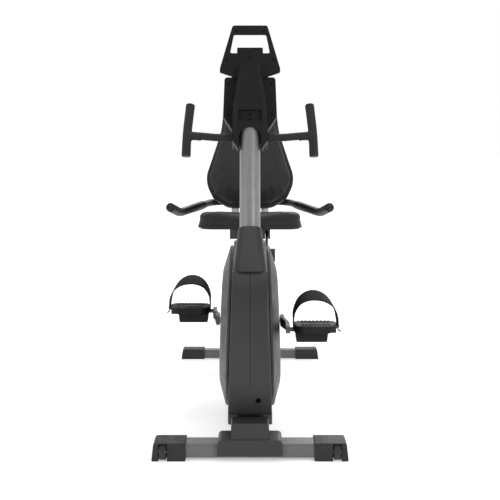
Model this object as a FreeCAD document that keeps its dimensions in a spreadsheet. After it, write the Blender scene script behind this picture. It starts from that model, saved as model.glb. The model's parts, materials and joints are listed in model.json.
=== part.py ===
import FreeCAD, Part
import math
import os
import Sketcher
from FreeCAD import Placement, Rotation, Vector

# Recumbent exercise bike, millimetres.  +Z is up, the front is toward -Y and +X is the rider's left.
# Stations are distances behind the front stabiliser's axis; front_axis_y puts them in the bike's frame.

DIMENSIONS = {
    "front_axis_y": -736,
    "sheet_wall": 3,
    "tube_wall": 2.5,
    "running_gap": 0.3,
    # floor frame
    "stabiliser_deep": 80,
    "stabiliser_base": 8,
    "stabiliser_top": 50,
    "stabiliser_half": 236,
    "rear_deep": 50,
    "rear_base": 2,
    "rear_top": 37,
    "front_cap_in": 186,
    "front_cap_out": 285,
    "rear_cap_out": 281,
    "rear_station": 1380,
    "wheel_radius": 24,
    "wheel_wide": 20,
    "wheel_station": -30,
    "wheel_middle": 252.5,
    "wheel_axle_radius": 4,
    "beam_half": 40,
    "beam_top": 90,
    # drive
    "crank_station": 420,
    "crank_height": 332,
    "crank_long": 170,
    "axle_radius": 10,
    "drive_pulley_radius": 130,
    "flywheel_station": 230,
    "flywheel_height": 313,
    "flywheel_radius": 122,
    "flywheel_pulley_radius": 15,
    "belt_plane": 45,
    "pedal_middle": 203,
    "spindle_radius": 7,
    # shroud
    "shroud_half": 58.5,
    "shroud_draft": 1.8,
    "panel_radius": 260,
    "panel_height": 313,
    "panel_bore": 32,
    # mast and console
    "mast_lean": 25.5,
    "mast_wide": 64,
    "mast_deep": 105,
    "mast_station": 275,
    "mast_height": 657,
    "console_lean": 17,
    "console_station": 445,
    "console_height": 1040,
    "bar_radius": 13,
    "bar_station": 398,
    "bar_height": 922,
    "grip_radius": 14.5,
    # seat
    "rail_slope": 3.5,
    "rail_wide": 80,
    "rail_tall": 45,
    "rail_station": 780,
    "rail_long": 700,
    "rail_top": 530,
    "rail_top_station": 960,
    "seat_front": 920,
    "seat_deep": 375,
    "seat_half": 193,
    "seat_base": 576,
    "seat_thick": 57,
    "seat_wedge": 4.6,
    "back_lean": 20,
    "back_station": 1300,
    "back_height": 622,
    "side_tube_radius": 14,
    "side_grip_radius": 17.5,
}


class Size:
    """A number that remembers how it is worked out from the sheet."""

    def __init__(self, number, formula):
        self.number = float(number)
        self.formula = formula

    def __add__(self, other):
        return joined(self, "+", other)

    def __radd__(self, other):
        return joined(other, "+", self)

    def __sub__(self, other):
        return joined(self, "-", other)

    def __rsub__(self, other):
        return joined(other, "-", self)

    def __mul__(self, other):
        return joined(self, "*", other)

    def __rmul__(self, other):
        return joined(other, "*", self)

    def __truediv__(self, other):
        return joined(self, "/", other)

    def __neg__(self):
        return joined(0, "-", self)


OPERATIONS = {
    "+": lambda a, b: a + b,
    "-": lambda a, b: a - b,
    "*": lambda a, b: a * b,
    "/": lambda a, b: a / b,
}


def sized(value):
    return value if isinstance(value, Size) else Size(value, "(%.6f)" % value)


def joined(left, sign, right):
    left, right = sized(left), sized(right)
    number = OPERATIONS[sign](left.number, right.number)
    return Size(number, "(%s %s %s)" % (left.formula, sign, right.formula))


def sine(angle):
    return Size(math.sin(math.radians(angle.number)), "sin(%s)" % angle.formula)


def cosine(angle):
    return Size(math.cos(math.radians(angle.number)), "cos(%s)" % angle.formula)


def tangent(angle):
    return Size(math.tan(math.radians(angle.number)), "tan(%s)" % angle.formula)


def plain(value):
    return sized(value).number


doc = FreeCAD.newDocument("RecumbentBike")
sheet = doc.addObject("Spreadsheet::Sheet", "Dims")
for row, (alias, number) in enumerate(DIMENSIONS.items(), start=1):
    sheet.set("A%d" % row, alias)
    sheet.set("B%d" % row, str(number))
    sheet.setAlias("B%d" % row, alias)
doc.recompute()


class Dims:
    """The sheet's cells as attributes."""


for alias in DIMENSIONS:
    setattr(Dims, alias, Size(sheet.get(alias), "Dims." + alias))

D = Dims
NODES = []
RIGHT_TURN = Rotation(Vector(0, 1, 0), 90)


def bind(thing, path, value):
    """Tie a property of an object to the sheet."""
    thing.setExpression(path, sized(value).formula)


def place(thing, at, axis=None, angle=0):
    """Stand an object at (x, station, height), turned about an axis."""
    if axis is not None:
        thing.Placement = Placement(Vector(), Rotation(Vector(*axis), plain(angle)))
        bind(thing, ".Placement.Rotation.Angle", angle)
    bind(thing, ".Placement.Base.x", at[0])
    bind(thing, ".Placement.Base.y", D.front_axis_y + at[1])
    bind(thing, ".Placement.Base.z", at[2])


def node(thing, label):
    """Name an object as one of the bike's pieces."""
    thing.Label = label
    if thing.Label != label:
        raise ValueError("the name %s is taken" % label)
    NODES.append(thing)
    return thing


# --- sketches -----------------------------------------------------------------------------------

def ring(across, up, radius):
    return ("ring", across, up, radius)


def rectangle(left, low, right, high, radius=0):
    return [(left, low, radius), (right, low, radius), (right, high, radius), (left, high, radius)]


def corner_arc(before, corner, after, radius):
    """The arc that rounds a corner, and whether it turns left."""
    back = (before - corner).normalize()
    ahead = (after - corner).normalize()
    half = back.getAngle(ahead) / 2
    centre = corner + (back + ahead).normalize() * (radius / math.sin(half))
    reach = radius / math.tan(half)
    ends = [corner + back * reach, corner + ahead * reach]
    left = back.cross(ahead).z < 0
    if not left:
        ends.reverse()
    angles = [math.atan2(end.y - centre.y, end.x - centre.x) for end in ends]
    circle = Part.Circle(centre, Vector(0, 0, 1), radius)
    return Part.ArcOfCircle(circle, angles[0], angles[1]), left


def draw_ring(drawing, loop):
    kind, across, up, radius = loop
    circle = Part.Circle(Vector(plain(across), plain(up), 0), Vector(0, 0, 1), plain(radius))
    index = drawing.addGeometry(circle, False)
    for name, value, end in (("DistanceX", across, 3), ("DistanceY", up, 3)):
        rule = drawing.addConstraint(Sketcher.Constraint(name, index, end, plain(value)))
        drawing.setExpression("Constraints[%d]" % rule, sized(value).formula)
    rule = drawing.addConstraint(Sketcher.Constraint("Radius", index, plain(radius)))
    drawing.setExpression("Constraints[%d]" % rule, sized(radius).formula)


def draw_outline(drawing, loop):
    """Draw a closed outline whose corners are (across, up) or (across, up, radius)."""
    corners = [tuple(corner) + (0,) * (3 - len(corner)) for corner in loop]
    spots = [Vector(plain(u), plain(v), 0) for u, v, radius in corners]
    count = len(corners)
    arcs = {}
    starts = list(spots)
    stops = spots[1:] + spots[:1]
    for i, (u, v, radius) in enumerate(corners):
        if plain(radius) > 0:
            arc, left = corner_arc(spots[i - 1], spots[i], spots[(i + 1) % count], plain(radius))
            arcs[i] = (arc, left)
            entry, leave = (arc.StartPoint, arc.EndPoint) if left else (arc.EndPoint, arc.StartPoint)
            stops[i - 1] = entry
            starts[i] = leave
    for i in range(count):
        if (stops[i] - starts[i]) * (spots[(i + 1) % count] - spots[i]) <= 0:
            raise ValueError("%s: the corners beside run %d are too round for it" % (drawing.Name, i))
    first = drawing.GeometryCount
    drawing.addGeometry([Part.LineSegment(starts[i], stops[i]) for i in range(count)], False)
    rules = []
    links = []

    def locate(index, end, across, up):
        for name, value in (("DistanceX", across), ("DistanceY", up)):
            links.append((len(rules), value))
            rules.append(Sketcher.Constraint(name, index, end, plain(value)))

    for i, (u, v, radius) in enumerate(corners):
        before = first + (i - 1) % count
        after = first + i
        if i not in arcs:
            rules.append(Sketcher.Constraint("Coincident", before, 2, after, 1))
            locate(after, 1, u, v)
            continue
        arc, left = arcs[i]
        turn = drawing.addGeometry(arc, False)
        point = drawing.addGeometry(Part.Point(spots[i]), True)
        rules.append(Sketcher.Constraint("Tangent", before, 2, turn, 1 if left else 2))
        rules.append(Sketcher.Constraint("Tangent", turn, 2 if left else 1, after, 1))
        rules.append(Sketcher.Constraint("PointOnObject", point, 1, before))
        rules.append(Sketcher.Constraint("PointOnObject", point, 1, after))
        links.append((len(rules), radius))
        rules.append(Sketcher.Constraint("Radius", turn, plain(radius)))
        locate(point, 1, u, v)
    base = drawing.ConstraintCount
    drawing.addConstraint(rules)
    for index, value in links:
        if isinstance(value, Size):
            drawing.setExpression("Constraints[%d]" % (base + index), value.formula)


def sketch(body, role, loops, lift=0, lean=0):
    """Draw loops on one of a body's origin planes, lifted along its normal and leaned about its H axis."""
    drawing = body.newObject("Sketcher::SketchObject", body.Name + "Sketch")
    plane = [part for part in body.Origin.OriginFeatures if part.Role == role][0]
    drawing.AttachmentSupport = [(plane, "")]
    drawing.MapMode = "FlatFace"
    drawing.AttachmentOffset = Placement(Vector(0, 0, plain(lift)), Rotation(Vector(1, 0, 0), plain(lean)))
    bind(drawing, ".AttachmentOffset.Base.z", lift)
    for loop in loops:
        if loop[0] == "ring":
            draw_ring(drawing, loop)
        else:
            draw_outline(drawing, loop)
    return drawing


# --- features of a body ---------------------------------------------------------------------------

def new_body(label, at, axis=None, angle=0):
    body = doc.addObject("PartDesign::Body", label)
    place(body, at, axis, angle)
    return body


def feature(body, kind, profile):
    made = body.newObject("PartDesign::" + kind, body.Name + kind)
    made.Profile = profile
    return made


def pad(body, profile, length, both_ways=False):
    made = feature(body, "Pad", profile)
    made.SideType = "Symmetric" if both_ways else "One side"
    bind(made, "Length", length)
    return made


def pocket(body, profile, depth, both_ways=False, forward=True):
    """Cut a sketch's outline out along its normal, or against it."""
    made = feature(body, "Pocket", profile)
    made.SideType = "Symmetric" if both_ways else "One side"
    made.Reversed = forward
    bind(made, "Length", depth)
    return made


def turned(label, at, outline, axis=None, angle=0):
    """A piece turned about a line along X, from an outline of (along, radius) corners."""
    body = new_body(label, at, axis, angle)
    made = feature(body, "Revolution", sketch(body, "XY_Plane", [outline]))
    made.ReferenceAxis = (made.Profile[0], ["H_Axis"])
    made.Angle = 360
    return body


def edge_trim(body, kind, base, size, wanted):
    """Fillet or chamfer the edges of a feature that a test picks out."""
    doc.recompute()
    names = ["Edge%d" % i for i, edge in enumerate(base.Shape.Edges, start=1) if wanted(edge.BoundBox)]
    made = body.newObject("PartDesign::" + kind, body.Name + kind)
    made.Base = (base, names)
    bind(made, "Radius" if kind == "Fillet" else "Size", size)
    return made


# --- whole pieces ---------------------------------------------------------------------------------

def block(label, corner, extent, axis=None, angle=0):
    """A block of a given extent that stands, or leans, on its lowest corner."""
    made = doc.addObject("Part::Box", label)
    for path, size in zip(("Length", "Width", "Height"), extent):
        bind(made, path, size)
    place(made, corner, axis, angle)
    return made


def box(label, low, high):
    """A block between two corners given as (x, station, height)."""
    return block(label, low, [b - a for a, b in zip(low, high)])


def rod(label, radius, start, end):
    """A round bar between two points given as (x, station, height)."""
    made = doc.addObject("Part::Cylinder", label)
    bind(made, "Radius", radius)
    run = Vector(*[plain(b) - plain(a) for a, b in zip(start, end)])
    bind(made, "Height", run.Length)
    made.Placement = Placement(Vector(), Rotation(Vector(0, 0, 1), run))
    place(made, start)
    return made


def boolean(kind, label, base, tool):
    made = doc.addObject("Part::" + kind, label)
    made.Base = base
    made.Tool = tool
    return made


def joined_up(label, pieces):
    made = doc.addObject("Part::MultiFuse", label)
    made.Shapes = pieces
    made.Refine = True
    return made


def mirrored(label, source):
    """The same piece on the bike's other side."""
    made = doc.addObject("Part::Mirroring", label)
    made.Source = source
    made.Normal = Vector(1, 0, 0)
    return made


def group(label, pieces):
    """Several separate solids that make one node."""
    made = doc.addObject("Part::Compound", label)
    made.Links = pieces
    return made


def both_sides(label, piece):
    return group(label, [piece, mirrored(label + "_other", piece)])


def here(x, station, height):
    """A point in the bike's frame from plain numbers or sizes."""
    return Vector(plain(x), plain(D.front_axis_y + station), plain(height))


def route(points, radii):
    """Straight runs through the points, joined by tangent arcs."""
    edges = []
    start = points[0]
    for i in range(1, len(points) - 1):
        back = (points[i - 1] - points[i]).normalize()
        ahead = (points[i + 1] - points[i]).normalize()
        half = back.getAngle(ahead) / 2
        reach = radii[i - 1] / math.tan(half)
        middle = (back + ahead).normalize()
        nearest = points[i] + middle * (radii[i - 1] / math.sin(half) - radii[i - 1])
        entry = points[i] + back * reach
        leave = points[i] + ahead * reach
        edges.append(Part.LineSegment(start, entry).toShape())
        edges.append(Part.Arc(entry, nearest, leave).toShape())
        start = leave
    edges.append(Part.LineSegment(start, points[-1]).toShape())
    return Part.Wire(edges)


def swept(path, radius):
    start = path.Edges[0].valueAt(path.Edges[0].FirstParameter)
    heading = path.Edges[0].tangentAt(path.Edges[0].FirstParameter)
    disc = Part.Wire([Part.Circle(start, heading, radius).toShape()])
    return path.makePipeShell([disc], True, False)


def stabiliser(label, station, deep, low, top):
    body = new_body(label, (0, station, 0))
    half = deep / 2
    wall = D.tube_wall
    loops = [rectangle(-half, low, half, top, 9),
             rectangle(wall - half, low + wall, half - wall, top - wall, 6.5)]
    pad(body, sketch(body, "YZ_Plane", loops), D.stabiliser_half * 2, both_ways=True)
    bolt_holes(body, 0, top - wall - 1)
    return node(body, label)


def bolt_holes(body, station, low, deep=6):
    """Holes for the pair of bolts that joins the beam to a stabiliser."""
    holes = [ring(x, station, 4.2) for x in (-22, 22)]
    pocket(body, sketch(body, "XY_Plane", holes, lift=low), deep)


def floor_bolt(x, station, stabiliser_top):
    """A bolt with its head on the beam's floor and its nut inside the stabiliser."""
    top = D.stabiliser_top + D.tube_wall
    low = stabiliser_top - D.tube_wall
    return joined_up("floor_bolt", [
        rod("bolt_shank", 4, (x, station, low - 8), (x, station, top + 2)),
        rod("bolt_head", 7, (x, station, top), (x, station, top + 5)),
        rod("bolt_nut", 7, (x, station, low - 6), (x, station, low)),
    ])


def end_cap(label, station, outer, top, tube, with_wheel):
    """A moulded foot that a stabiliser's tube (deep, low, top) plugs into, with a well for a wheel."""
    deep, tube_low, tube_top = tube
    body = new_body(label, (0, station, 0))
    inner = D.front_cap_in
    outline = [(inner, 0, 4), (outer, 0, 3), (outer - 6, top, 8), (inner, top, 3)]
    pad(body, sketch(body, "XZ_Plane", [outline]), deep + 8, both_ways=True)
    half = deep / 2
    socket = rectangle(-half, tube_low, half, tube_top, 9)
    pocket(body, sketch(body, "YZ_Plane", [socket], lift=inner), D.stabiliser_half - inner)
    if with_wheel:
        axle = ring(D.wheel_station, D.wheel_radius + 2, D.wheel_axle_radius)
        pocket(body, sketch(body, "YZ_Plane", [axle], lift=D.wheel_middle - 14), 28)
        well = rectangle(D.wheel_middle - 12.5, -1, D.wheel_middle + 12.5, top - 3.5)
        pocket(body, sketch(body, "XZ_Plane", [well], lift=2), 60)
    ribs = [rectangle(inner + 6 * i, top - 0.8, inner + 6 * i + 2, top + 1) for i in range(2, 7)]
    pocket(body, sketch(body, "XZ_Plane", ribs), 200, both_ways=True)
    return body


def transport_wheel():
    near = D.wheel_middle - D.wheel_wide / 2
    far = near + D.wheel_wide
    bore = D.wheel_axle_radius + D.running_gap
    tyre = D.wheel_radius
    outline = [(near, bore), (far, bore), (far, 10, 1), (far - 3, 10.5, 1), (far - 3, tyre - 6, 1),
               (far, tyre - 6, 1), (far, tyre, 3), (near, tyre, 3), (near, tyre - 6, 1),
               (near + 3, tyre - 6, 1), (near + 3, 10.5, 1), (near, 10, 1)]
    return turned("transport_wheel_left", (0, D.wheel_station, D.wheel_radius + 2), outline)


def floor_frame():
    front_tube = (D.stabiliser_deep, D.stabiliser_base, D.stabiliser_top)
    rear_tube = (D.rear_deep, D.rear_base, D.rear_top)
    stabiliser("front_stabiliser", 0, *front_tube)
    stabiliser("rear_stabiliser", D.rear_station, *rear_tube)
    front = end_cap("front_cap", 0, D.front_cap_out, 54, front_tube, True)
    rear = end_cap("rear_cap", D.rear_station, D.rear_cap_out, 41, rear_tube, False)
    node(both_sides("front_end_caps", front), "front_end_caps")
    node(both_sides("rear_end_caps", rear), "rear_end_caps")
    wheel = node(transport_wheel(), "transport_wheel_left")
    node(mirrored("transport_wheel_right", wheel), "transport_wheel_right")

    beam = new_body("lower_beam", (0, 0, 0))
    half, wall = D.beam_half, D.tube_wall
    loops = [rectangle(-half, D.stabiliser_top, half, D.beam_top, 6),
             rectangle(wall - half, D.stabiliser_top + wall, half - wall, D.beam_top - wall, 3.5)]
    drawing = sketch(body=beam, role="XZ_Plane", loops=loops, lift=36)
    made = pad(beam, drawing, D.rear_station + 72)
    made.Reversed = True
    packer = rectangle(4 - half, D.rear_station - 24, half - 4, D.rear_station + 24, 4)
    pad(beam, sketch(beam, "XY_Plane", [packer], lift=D.rear_top), D.stabiliser_top - D.rear_top + 1)
    bolt_holes(beam, 0, D.stabiliser_top - 1)
    bolt_holes(beam, D.rear_station, D.rear_top - 1, 20)
    node(beam, "lower_beam")

    height = D.wheel_radius + 2
    axle = rod("wheel_axle", D.wheel_axle_radius, (D.wheel_middle - 14, D.wheel_station, height),
               (D.wheel_middle + 14, D.wheel_station, height))
    bolts = [axle, mirrored("wheel_axle_other", axle)]
    bolts += [floor_bolt(x, 0, D.stabiliser_top) for x in (-22, 22)]
    bolts += [floor_bolt(x, D.rear_station, D.rear_top) for x in (-22, 22)]
    node(group("frame_bolts", bolts), "frame_bolts")


def stabiliser_cover():
    """The plastic cover over the joint between the front stabiliser and the beam."""
    body = new_body("stabiliser_cover", (0, 0, 0))
    skirt = [(-95, 18, 2), (95, 18, 2), (92.5, 65, 12), (-92.5, 65, 12)]
    pad(body, sketch(body, "XZ_Plane", [skirt]), 104, both_ways=True)
    riser = [(-58, 40), (58, 40), (56, 66, 8), (54, 113, 4), (-54, 113, 4), (-56, 66, 8)]
    made = pad(body, sketch(body, "XZ_Plane", [riser], lift=48), 74)
    made.Reversed = True
    room = D.sheet_wall
    half = D.stabiliser_deep / 2 + 0.2
    tunnel = rectangle(-half, -1, half, D.stabiliser_top + 0.2, 6)
    pocket(body, sketch(body, "YZ_Plane", [tunnel]), 400, both_ways=True)
    hollow = [(room - 95, -1), (95 - room, -1), (92.5 - room, 65 - room, 9), (room - 92.5, 65 - room, 9)]
    pocket(body, sketch(body, "XZ_Plane", [hollow]), 104 - 2 * room, both_ways=True)
    inner = [(room - 58, 30), (58 - room, 30), (56 - room, 66, 6), (54 - room, 113 - room, 2),
             (room - 54, 113 - room, 2), (room - 56, 66, 6)]
    pocket(body, sketch(body, "XZ_Plane", [inner], lift=48 - room), 74 - 2 * room, forward=False)
    beam_way = rectangle(-42, 30, 42, D.beam_top + 1.5)
    pocket(body, sketch(body, "XZ_Plane", [beam_way], lift=40), 140, forward=False)
    return node(body, "stabiliser_cover")


# --- shroud ---------------------------------------------------------------------------------------

# corners of the casing's side view, (station, height, radius), round from the lower front
SHROUD_SIDE = [(33, 119, 14), (0, 270, 300), (60, 470, 300), (114, 530.6, 8), (345, 600, 100),
               (560, 560, 250), (745, 330, 220), (640, 70, 60), (88, 70, 15)]
SEAM_START = (114, 530.6)
SEAM_END = (345, 600)
JACK_X = 24.6
JACK_HEIGHT = 163


def inset(outline, by):
    """A closed outline moved inwards, corner by corner."""
    moved = []
    count = len(outline)
    for i, (u, v, radius) in enumerate(outline):
        spot = Vector(u, v, 0)
        back = (Vector(*outline[i - 1][:2], 0) - spot).normalize()
        ahead = (Vector(*outline[(i + 1) % count][:2], 0) - spot).normalize()
        inward = (back + ahead).normalize()
        reach = by / math.sin(back.getAngle(ahead) / 2)
        if back.cross(ahead).z < 0 and inward.Length > 0:
            moved.append((u + inward.x * reach, v + inward.y * reach, max(radius - by, 1)))
        else:
            moved.append((u - inward.x * reach, v - inward.y * reach, radius + by))
    return moved


def shroud_half():
    """One half of the drive's casing, open along the machine's middle plane."""
    wall = plain(D.sheet_wall)
    outline = list(reversed(SHROUD_SIDE))
    body = new_body("shroud_slab", (0, 0, D.crank_height), (0, 1, 0), -D.shroud_draft)
    flat = [(u, v - plain(D.crank_height), radius) for u, v, radius in outline]
    slab = pad(body, sketch(body, "YZ_Plane", [flat], lift=-30), D.shroud_half + 30)
    edge_trim(body, "Fillet", slab, 5, lambda span: span.XMin > plain(D.shroud_half) - 0.1)
    pocket(body, sketch(body, "YZ_Plane", [inset(flat, wall)], lift=-31), D.shroud_half + 31 - wall)
    window = ring(D.crank_station, D.panel_height - D.crank_height, D.panel_radius - 60)
    pocket(body, sketch(body, "YZ_Plane", [window]), 200)
    neck = [(133, 300), (133, 150), (330, 150), (330, 300)]
    pocket(body, sketch(body, "YZ_Plane", [neck], lift=-40), 40 + D.mast_wide / 2 + 12)
    slot = [(60, -180), (60, -260), (470, -260), (470, -180)]
    pocket(body, sketch(body, "YZ_Plane", [slot], lift=-40), 40 + D.beam_half - 8)
    away = joined_up("casing_ways", [
        box("other_side", (-80, -100, 50), (0, 900, 700)),
        box("beam_way", (-1, 20, 50), (D.beam_half + 1, 760, D.beam_top + 2.5)),
    ])
    return boolean("Cut", "shroud_half", body, away)


def side_panel():
    """A domed round panel, hollow behind, tipped like the casing's side and proud of it by a narrow gap."""
    wall = D.sheet_wall
    rim = D.panel_radius
    foot = D.shroud_half + 0.2
    heel = rim - 4
    outline = [(foot, heel), (foot, heel - wall), (foot + 7.5, heel - wall, 6), (foot + 30, 175, 130),
               (foot + 34, 0), (foot + 34 + wall, 0), (foot + 31 + wall, 178, 130),
               (foot + 10.5, rim, 8), (foot + 4, rim), (foot + 4, heel)]
    above = D.crank_height - D.panel_height
    at = (above * tangent(D.shroud_draft), D.crank_station, D.panel_height)
    panel = turned("side_panel_left", at, outline, (0, 1, 0), -D.shroud_draft)
    pocket(panel, sketch(panel, "YZ_Plane", [ring(0, above, D.panel_bore)]), 400, both_ways=True)
    return panel


def oval(half_wide, half_deep, middle=0, radius=None):
    corner = half_wide - 1 if radius is None else radius
    return rectangle(-half_wide, middle - half_deep, half_wide, middle + half_deep, corner)


def loft(body, kind, sections):
    made = feature(body, kind, sections[0])
    made.Sections = sections[1:]
    made.Ruled = False
    return made


def neck_cover():
    """The collar that closes the casing round the mast."""
    wall = 3
    body = new_body("neck_sleeve", (0, D.mast_station, D.mast_height), (1, 0, 0), -D.mast_lean)
    outer = []
    inner = []
    for lift, wide, deep, middle, lean in ((-27, 36.3, 60, 0, 0), (-122, 51.5, 118, -18, 40)):
        for sections, less in ((outer, 0), (inner, wall)):
            drawing = sketch(body, "XY_Plane", [oval(wide - less, deep - less, middle, 30)], lift, lean)
            sections.append(drawing)
    loft(body, "AdditiveLoft", outer)
    loft(body, "SubtractiveLoft", inner)
    slope = math.degrees(math.atan2(SEAM_END[1] - SEAM_START[1], SEAM_END[0] - SEAM_START[0]))
    thick = 120
    seam = SEAM_START[1] + 1.8
    foot = seam - thick / math.cos(math.radians(slope))
    casing_top = block("casing_top", (-90, SEAM_START[0], foot), (180, 400, thick), (1, 0, 0), slope)
    ahead = box("casing_front", (-90, 0, 400), (90, SEAM_START[0] + 40, seam))
    trim = joined_up("neck_cover_trim", [casing_top, ahead])
    return node(boolean("Cut", "neck_cover", body, trim), "neck_cover")


def casing():
    half = shroud_half()
    jack_way = rod("jack_way", 5.7, (JACK_X, -40, JACK_HEIGHT), (JACK_X, 60, JACK_HEIGHT))
    node(boolean("Cut", "shroud_left", half, jack_way), "shroud_left")
    node(mirrored("shroud_right", half), "shroud_right")
    panel = node(side_panel(), "side_panel_left")
    node(mirrored("side_panel_right", panel), "side_panel_right")
    neck_cover()



# --- drive ----------------------------------------------------------------------------------------

def mast_point(across, behind, along):
    """A point given in the mast's own leaning axes."""
    return (across,
            D.mast_station + behind * cosine(D.mast_lean) + along * sine(D.mast_lean),
            D.mast_height - behind * sine(D.mast_lean) + along * cosine(D.mast_lean))


def leaning_block(label, low, high):
    """A block along the mast's axis, between two corners in the mast's axes."""
    extent = [b - a for a, b in zip(low, high)]
    return block(label, mast_point(*low), extent, (1, 0, 0), -D.mast_lean)


def drive_frame():
    """The welded frame inside the casing: a leaning post, two struts and the two axle shells."""
    wall = D.tube_wall
    crank, height = D.crank_station, D.crank_height
    wheel, wheel_up = D.flywheel_station, D.flywheel_height
    plug = new_body("mast_plug", mast_point(0, 0, 0), (1, 0, 0), -D.mast_lean)
    half_wide = D.mast_wide / 2 - wall - 0.5
    half_deep = D.mast_deep / 2 - wall - 0.5
    pad(plug, sketch(plug, "XY_Plane", [oval(half_wide, half_deep)], lift=-172), 90)
    solid = joined_up("drive_frame_solid", [
        plug,
        leaning_block("post", (-20, -30, -392), (20, 30, -120)),
        box("column", (-20, 82, 80), (20, 142, 342)),
        box("long_strut", (-20, 90, 302), (20, crank, 342)),
        box("upright_strut", (-20, crank - 20, 80), (20, crank + 20, height)),
        rod("crank_shell", 24, (-34, crank, height), (34, crank, height)),
        rod("flywheel_shell", 20, (-26, wheel, wheel_up), (26, wheel, wheel_up)),
        rod("brake_pivot", 5, (-48.5, 176, 450), (-10, 176, 450)),
    ])
    inner = 20 - wall
    hollow = joined_up("drive_frame_hollow", [
        leaning_block("post_hollow", (-inner, -30 + wall, -360), (inner, 30 - wall, -60)),
        box("column_hollow", (-inner, 82 + wall, 70), (inner, 142 - wall, 342 - wall)),
        box("strut_hollow", (-inner, 95, 302 + wall), (inner, wheel - 24, 342 - wall)),
        box("strut_hollow_rear", (-inner, wheel + 24, 302 + wall), (inner, crank - 28, 342 - wall)),
        box("upright_hollow", (-inner, crank - 20 + wall, 70), (inner, crank + 20 - wall, height - 28)),
        rod("crank_bore", 18, (-36, crank, height), (36, crank, height)),
        rod("flywheel_bore", 13, (-27, wheel, wheel_up), (27, wheel, wheel_up)),
    ])
    welded = boolean("Cut", "drive_frame_welded", solid, hollow)
    below = box("below_beam", (-90, -200, 0), (90, 600, D.beam_top))
    return node(boolean("Cut", "drive_frame", welded, below), "drive_frame")


def bearing(label, x, wide, outer, inner, station, height):
    outline = rectangle(x, inner, x + wide, outer, 0.6)
    return turned(label, (0, station, height), outline)


def drive_bearings():
    rings = []
    crank_bore = D.axle_radius + 0.1
    for name, x in (("crank_bearing_a", 22), ("crank_bearing_b", -34)):
        rings.append(bearing(name, x, 12, 18, crank_bore, D.crank_station, D.crank_height))
    for name, x in (("flywheel_bearing_a", 15), ("flywheel_bearing_b", -26)):
        rings.append(bearing(name, x, 11, 13, 7.1, D.flywheel_station, D.flywheel_height))
    return node(group("drive_bearings", rings), "drive_bearings")


def flywheel():
    at = (0, D.flywheel_station, D.flywheel_height)
    rim = D.flywheel_radius
    disc = [(-41, 7), (-29, 7), (-29, 24), (-32, 26), (-32, rim - 30), (-29, rim - 28), (-29, rim, 1.5),
            (-41, rim, 1.5), (-41, rim - 28), (-38, rim - 30), (-38, 26), (-41, 24)]
    node(turned("flywheel", at, disc), "flywheel")
    small = D.flywheel_pulley_radius
    near = D.belt_plane - 7
    far = D.belt_plane + 7
    shaft = [(-46, 0), (far + 2, 0), (far + 2, 7), (far, 7), (far, small + 2), (far - 1.5, small + 2),
             (far - 1.5, small), (near + 1.5, small), (near + 1.5, small + 2), (near, small + 2),
             (near, 7), (-46, 7)]
    node(turned("flywheel_shaft", at, shaft), "flywheel_shaft")


def drive_pulley():
    """The belt pulley on the crank axle, with lightening holes round its web."""
    rim = D.drive_pulley_radius
    near = D.belt_plane - 7
    far = D.belt_plane + 7
    outline = [(near, D.axle_radius), (far, D.axle_radius), (far, 24), (far - 5, 26), (far - 5, rim - 14),
               (far, rim - 12), (far, rim), (near, rim), (near, rim - 12), (near + 5, rim - 14),
               (near + 5, 26), (near, 24)]
    body = turned("drive_pulley", (0, D.crank_station, D.crank_height), outline)
    hole = pocket(body, sketch(body, "YZ_Plane", [ring(72, 0, 22)]), 200)
    pattern = body.newObject("PartDesign::PolarPattern", "pulley_holes")
    pattern.Originals = [hole]
    pattern.Axis = (sketch_axis(body), ["N_Axis"])
    pattern.Angle = 360
    pattern.Occurrences = 6
    body.Tip = pattern
    return node(body, "drive_pulley")


def sketch_axis(body):
    """The body's sketch whose normal is the line that the piece turns about."""
    return [part for part in body.Group if part.TypeId == "Sketcher::SketchObject"][-1]


def belt_loop(slack):
    """The closed line round both pulleys, a given distance off their faces."""
    big = here(D.belt_plane, D.crank_station, D.crank_height)
    small = here(D.belt_plane, D.flywheel_station, D.flywheel_height)
    wide = plain(D.drive_pulley_radius) + slack
    narrow = plain(D.flywheel_pulley_radius) + slack
    line = big - small
    ahead = Vector(line).normalize()
    side = Vector(1, 0, 0).cross(ahead)
    lean = math.asin((wide - narrow) / line.Length)
    tangents = [side * (sign * math.cos(lean)) - ahead * math.sin(lean) for sign in (1, -1)]
    up, down = tangents
    edges = [
        Part.LineSegment(small + up * narrow, big + up * wide).toShape(),
        Part.Arc(big + up * wide, big + ahead * wide, big + down * wide).toShape(),
        Part.LineSegment(big + down * wide, small + down * narrow).toShape(),
        Part.Arc(small + down * narrow, small - ahead * narrow, small + up * narrow).toShape(),
    ]
    return Part.Wire(edges)


def drive_belt():
    belt = doc.addObject("Part::Feature", "drive_belt")
    wide = 10
    face = Part.Face([belt_loop(3.4)]).cut(Part.Face([belt_loop(0.4)]))
    solid = face.extrude(Vector(wide, 0, 0))
    solid.translate(Vector(-wide / 2, 0, 0))
    belt.Shape = solid
    return node(belt, "drive_belt")


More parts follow.
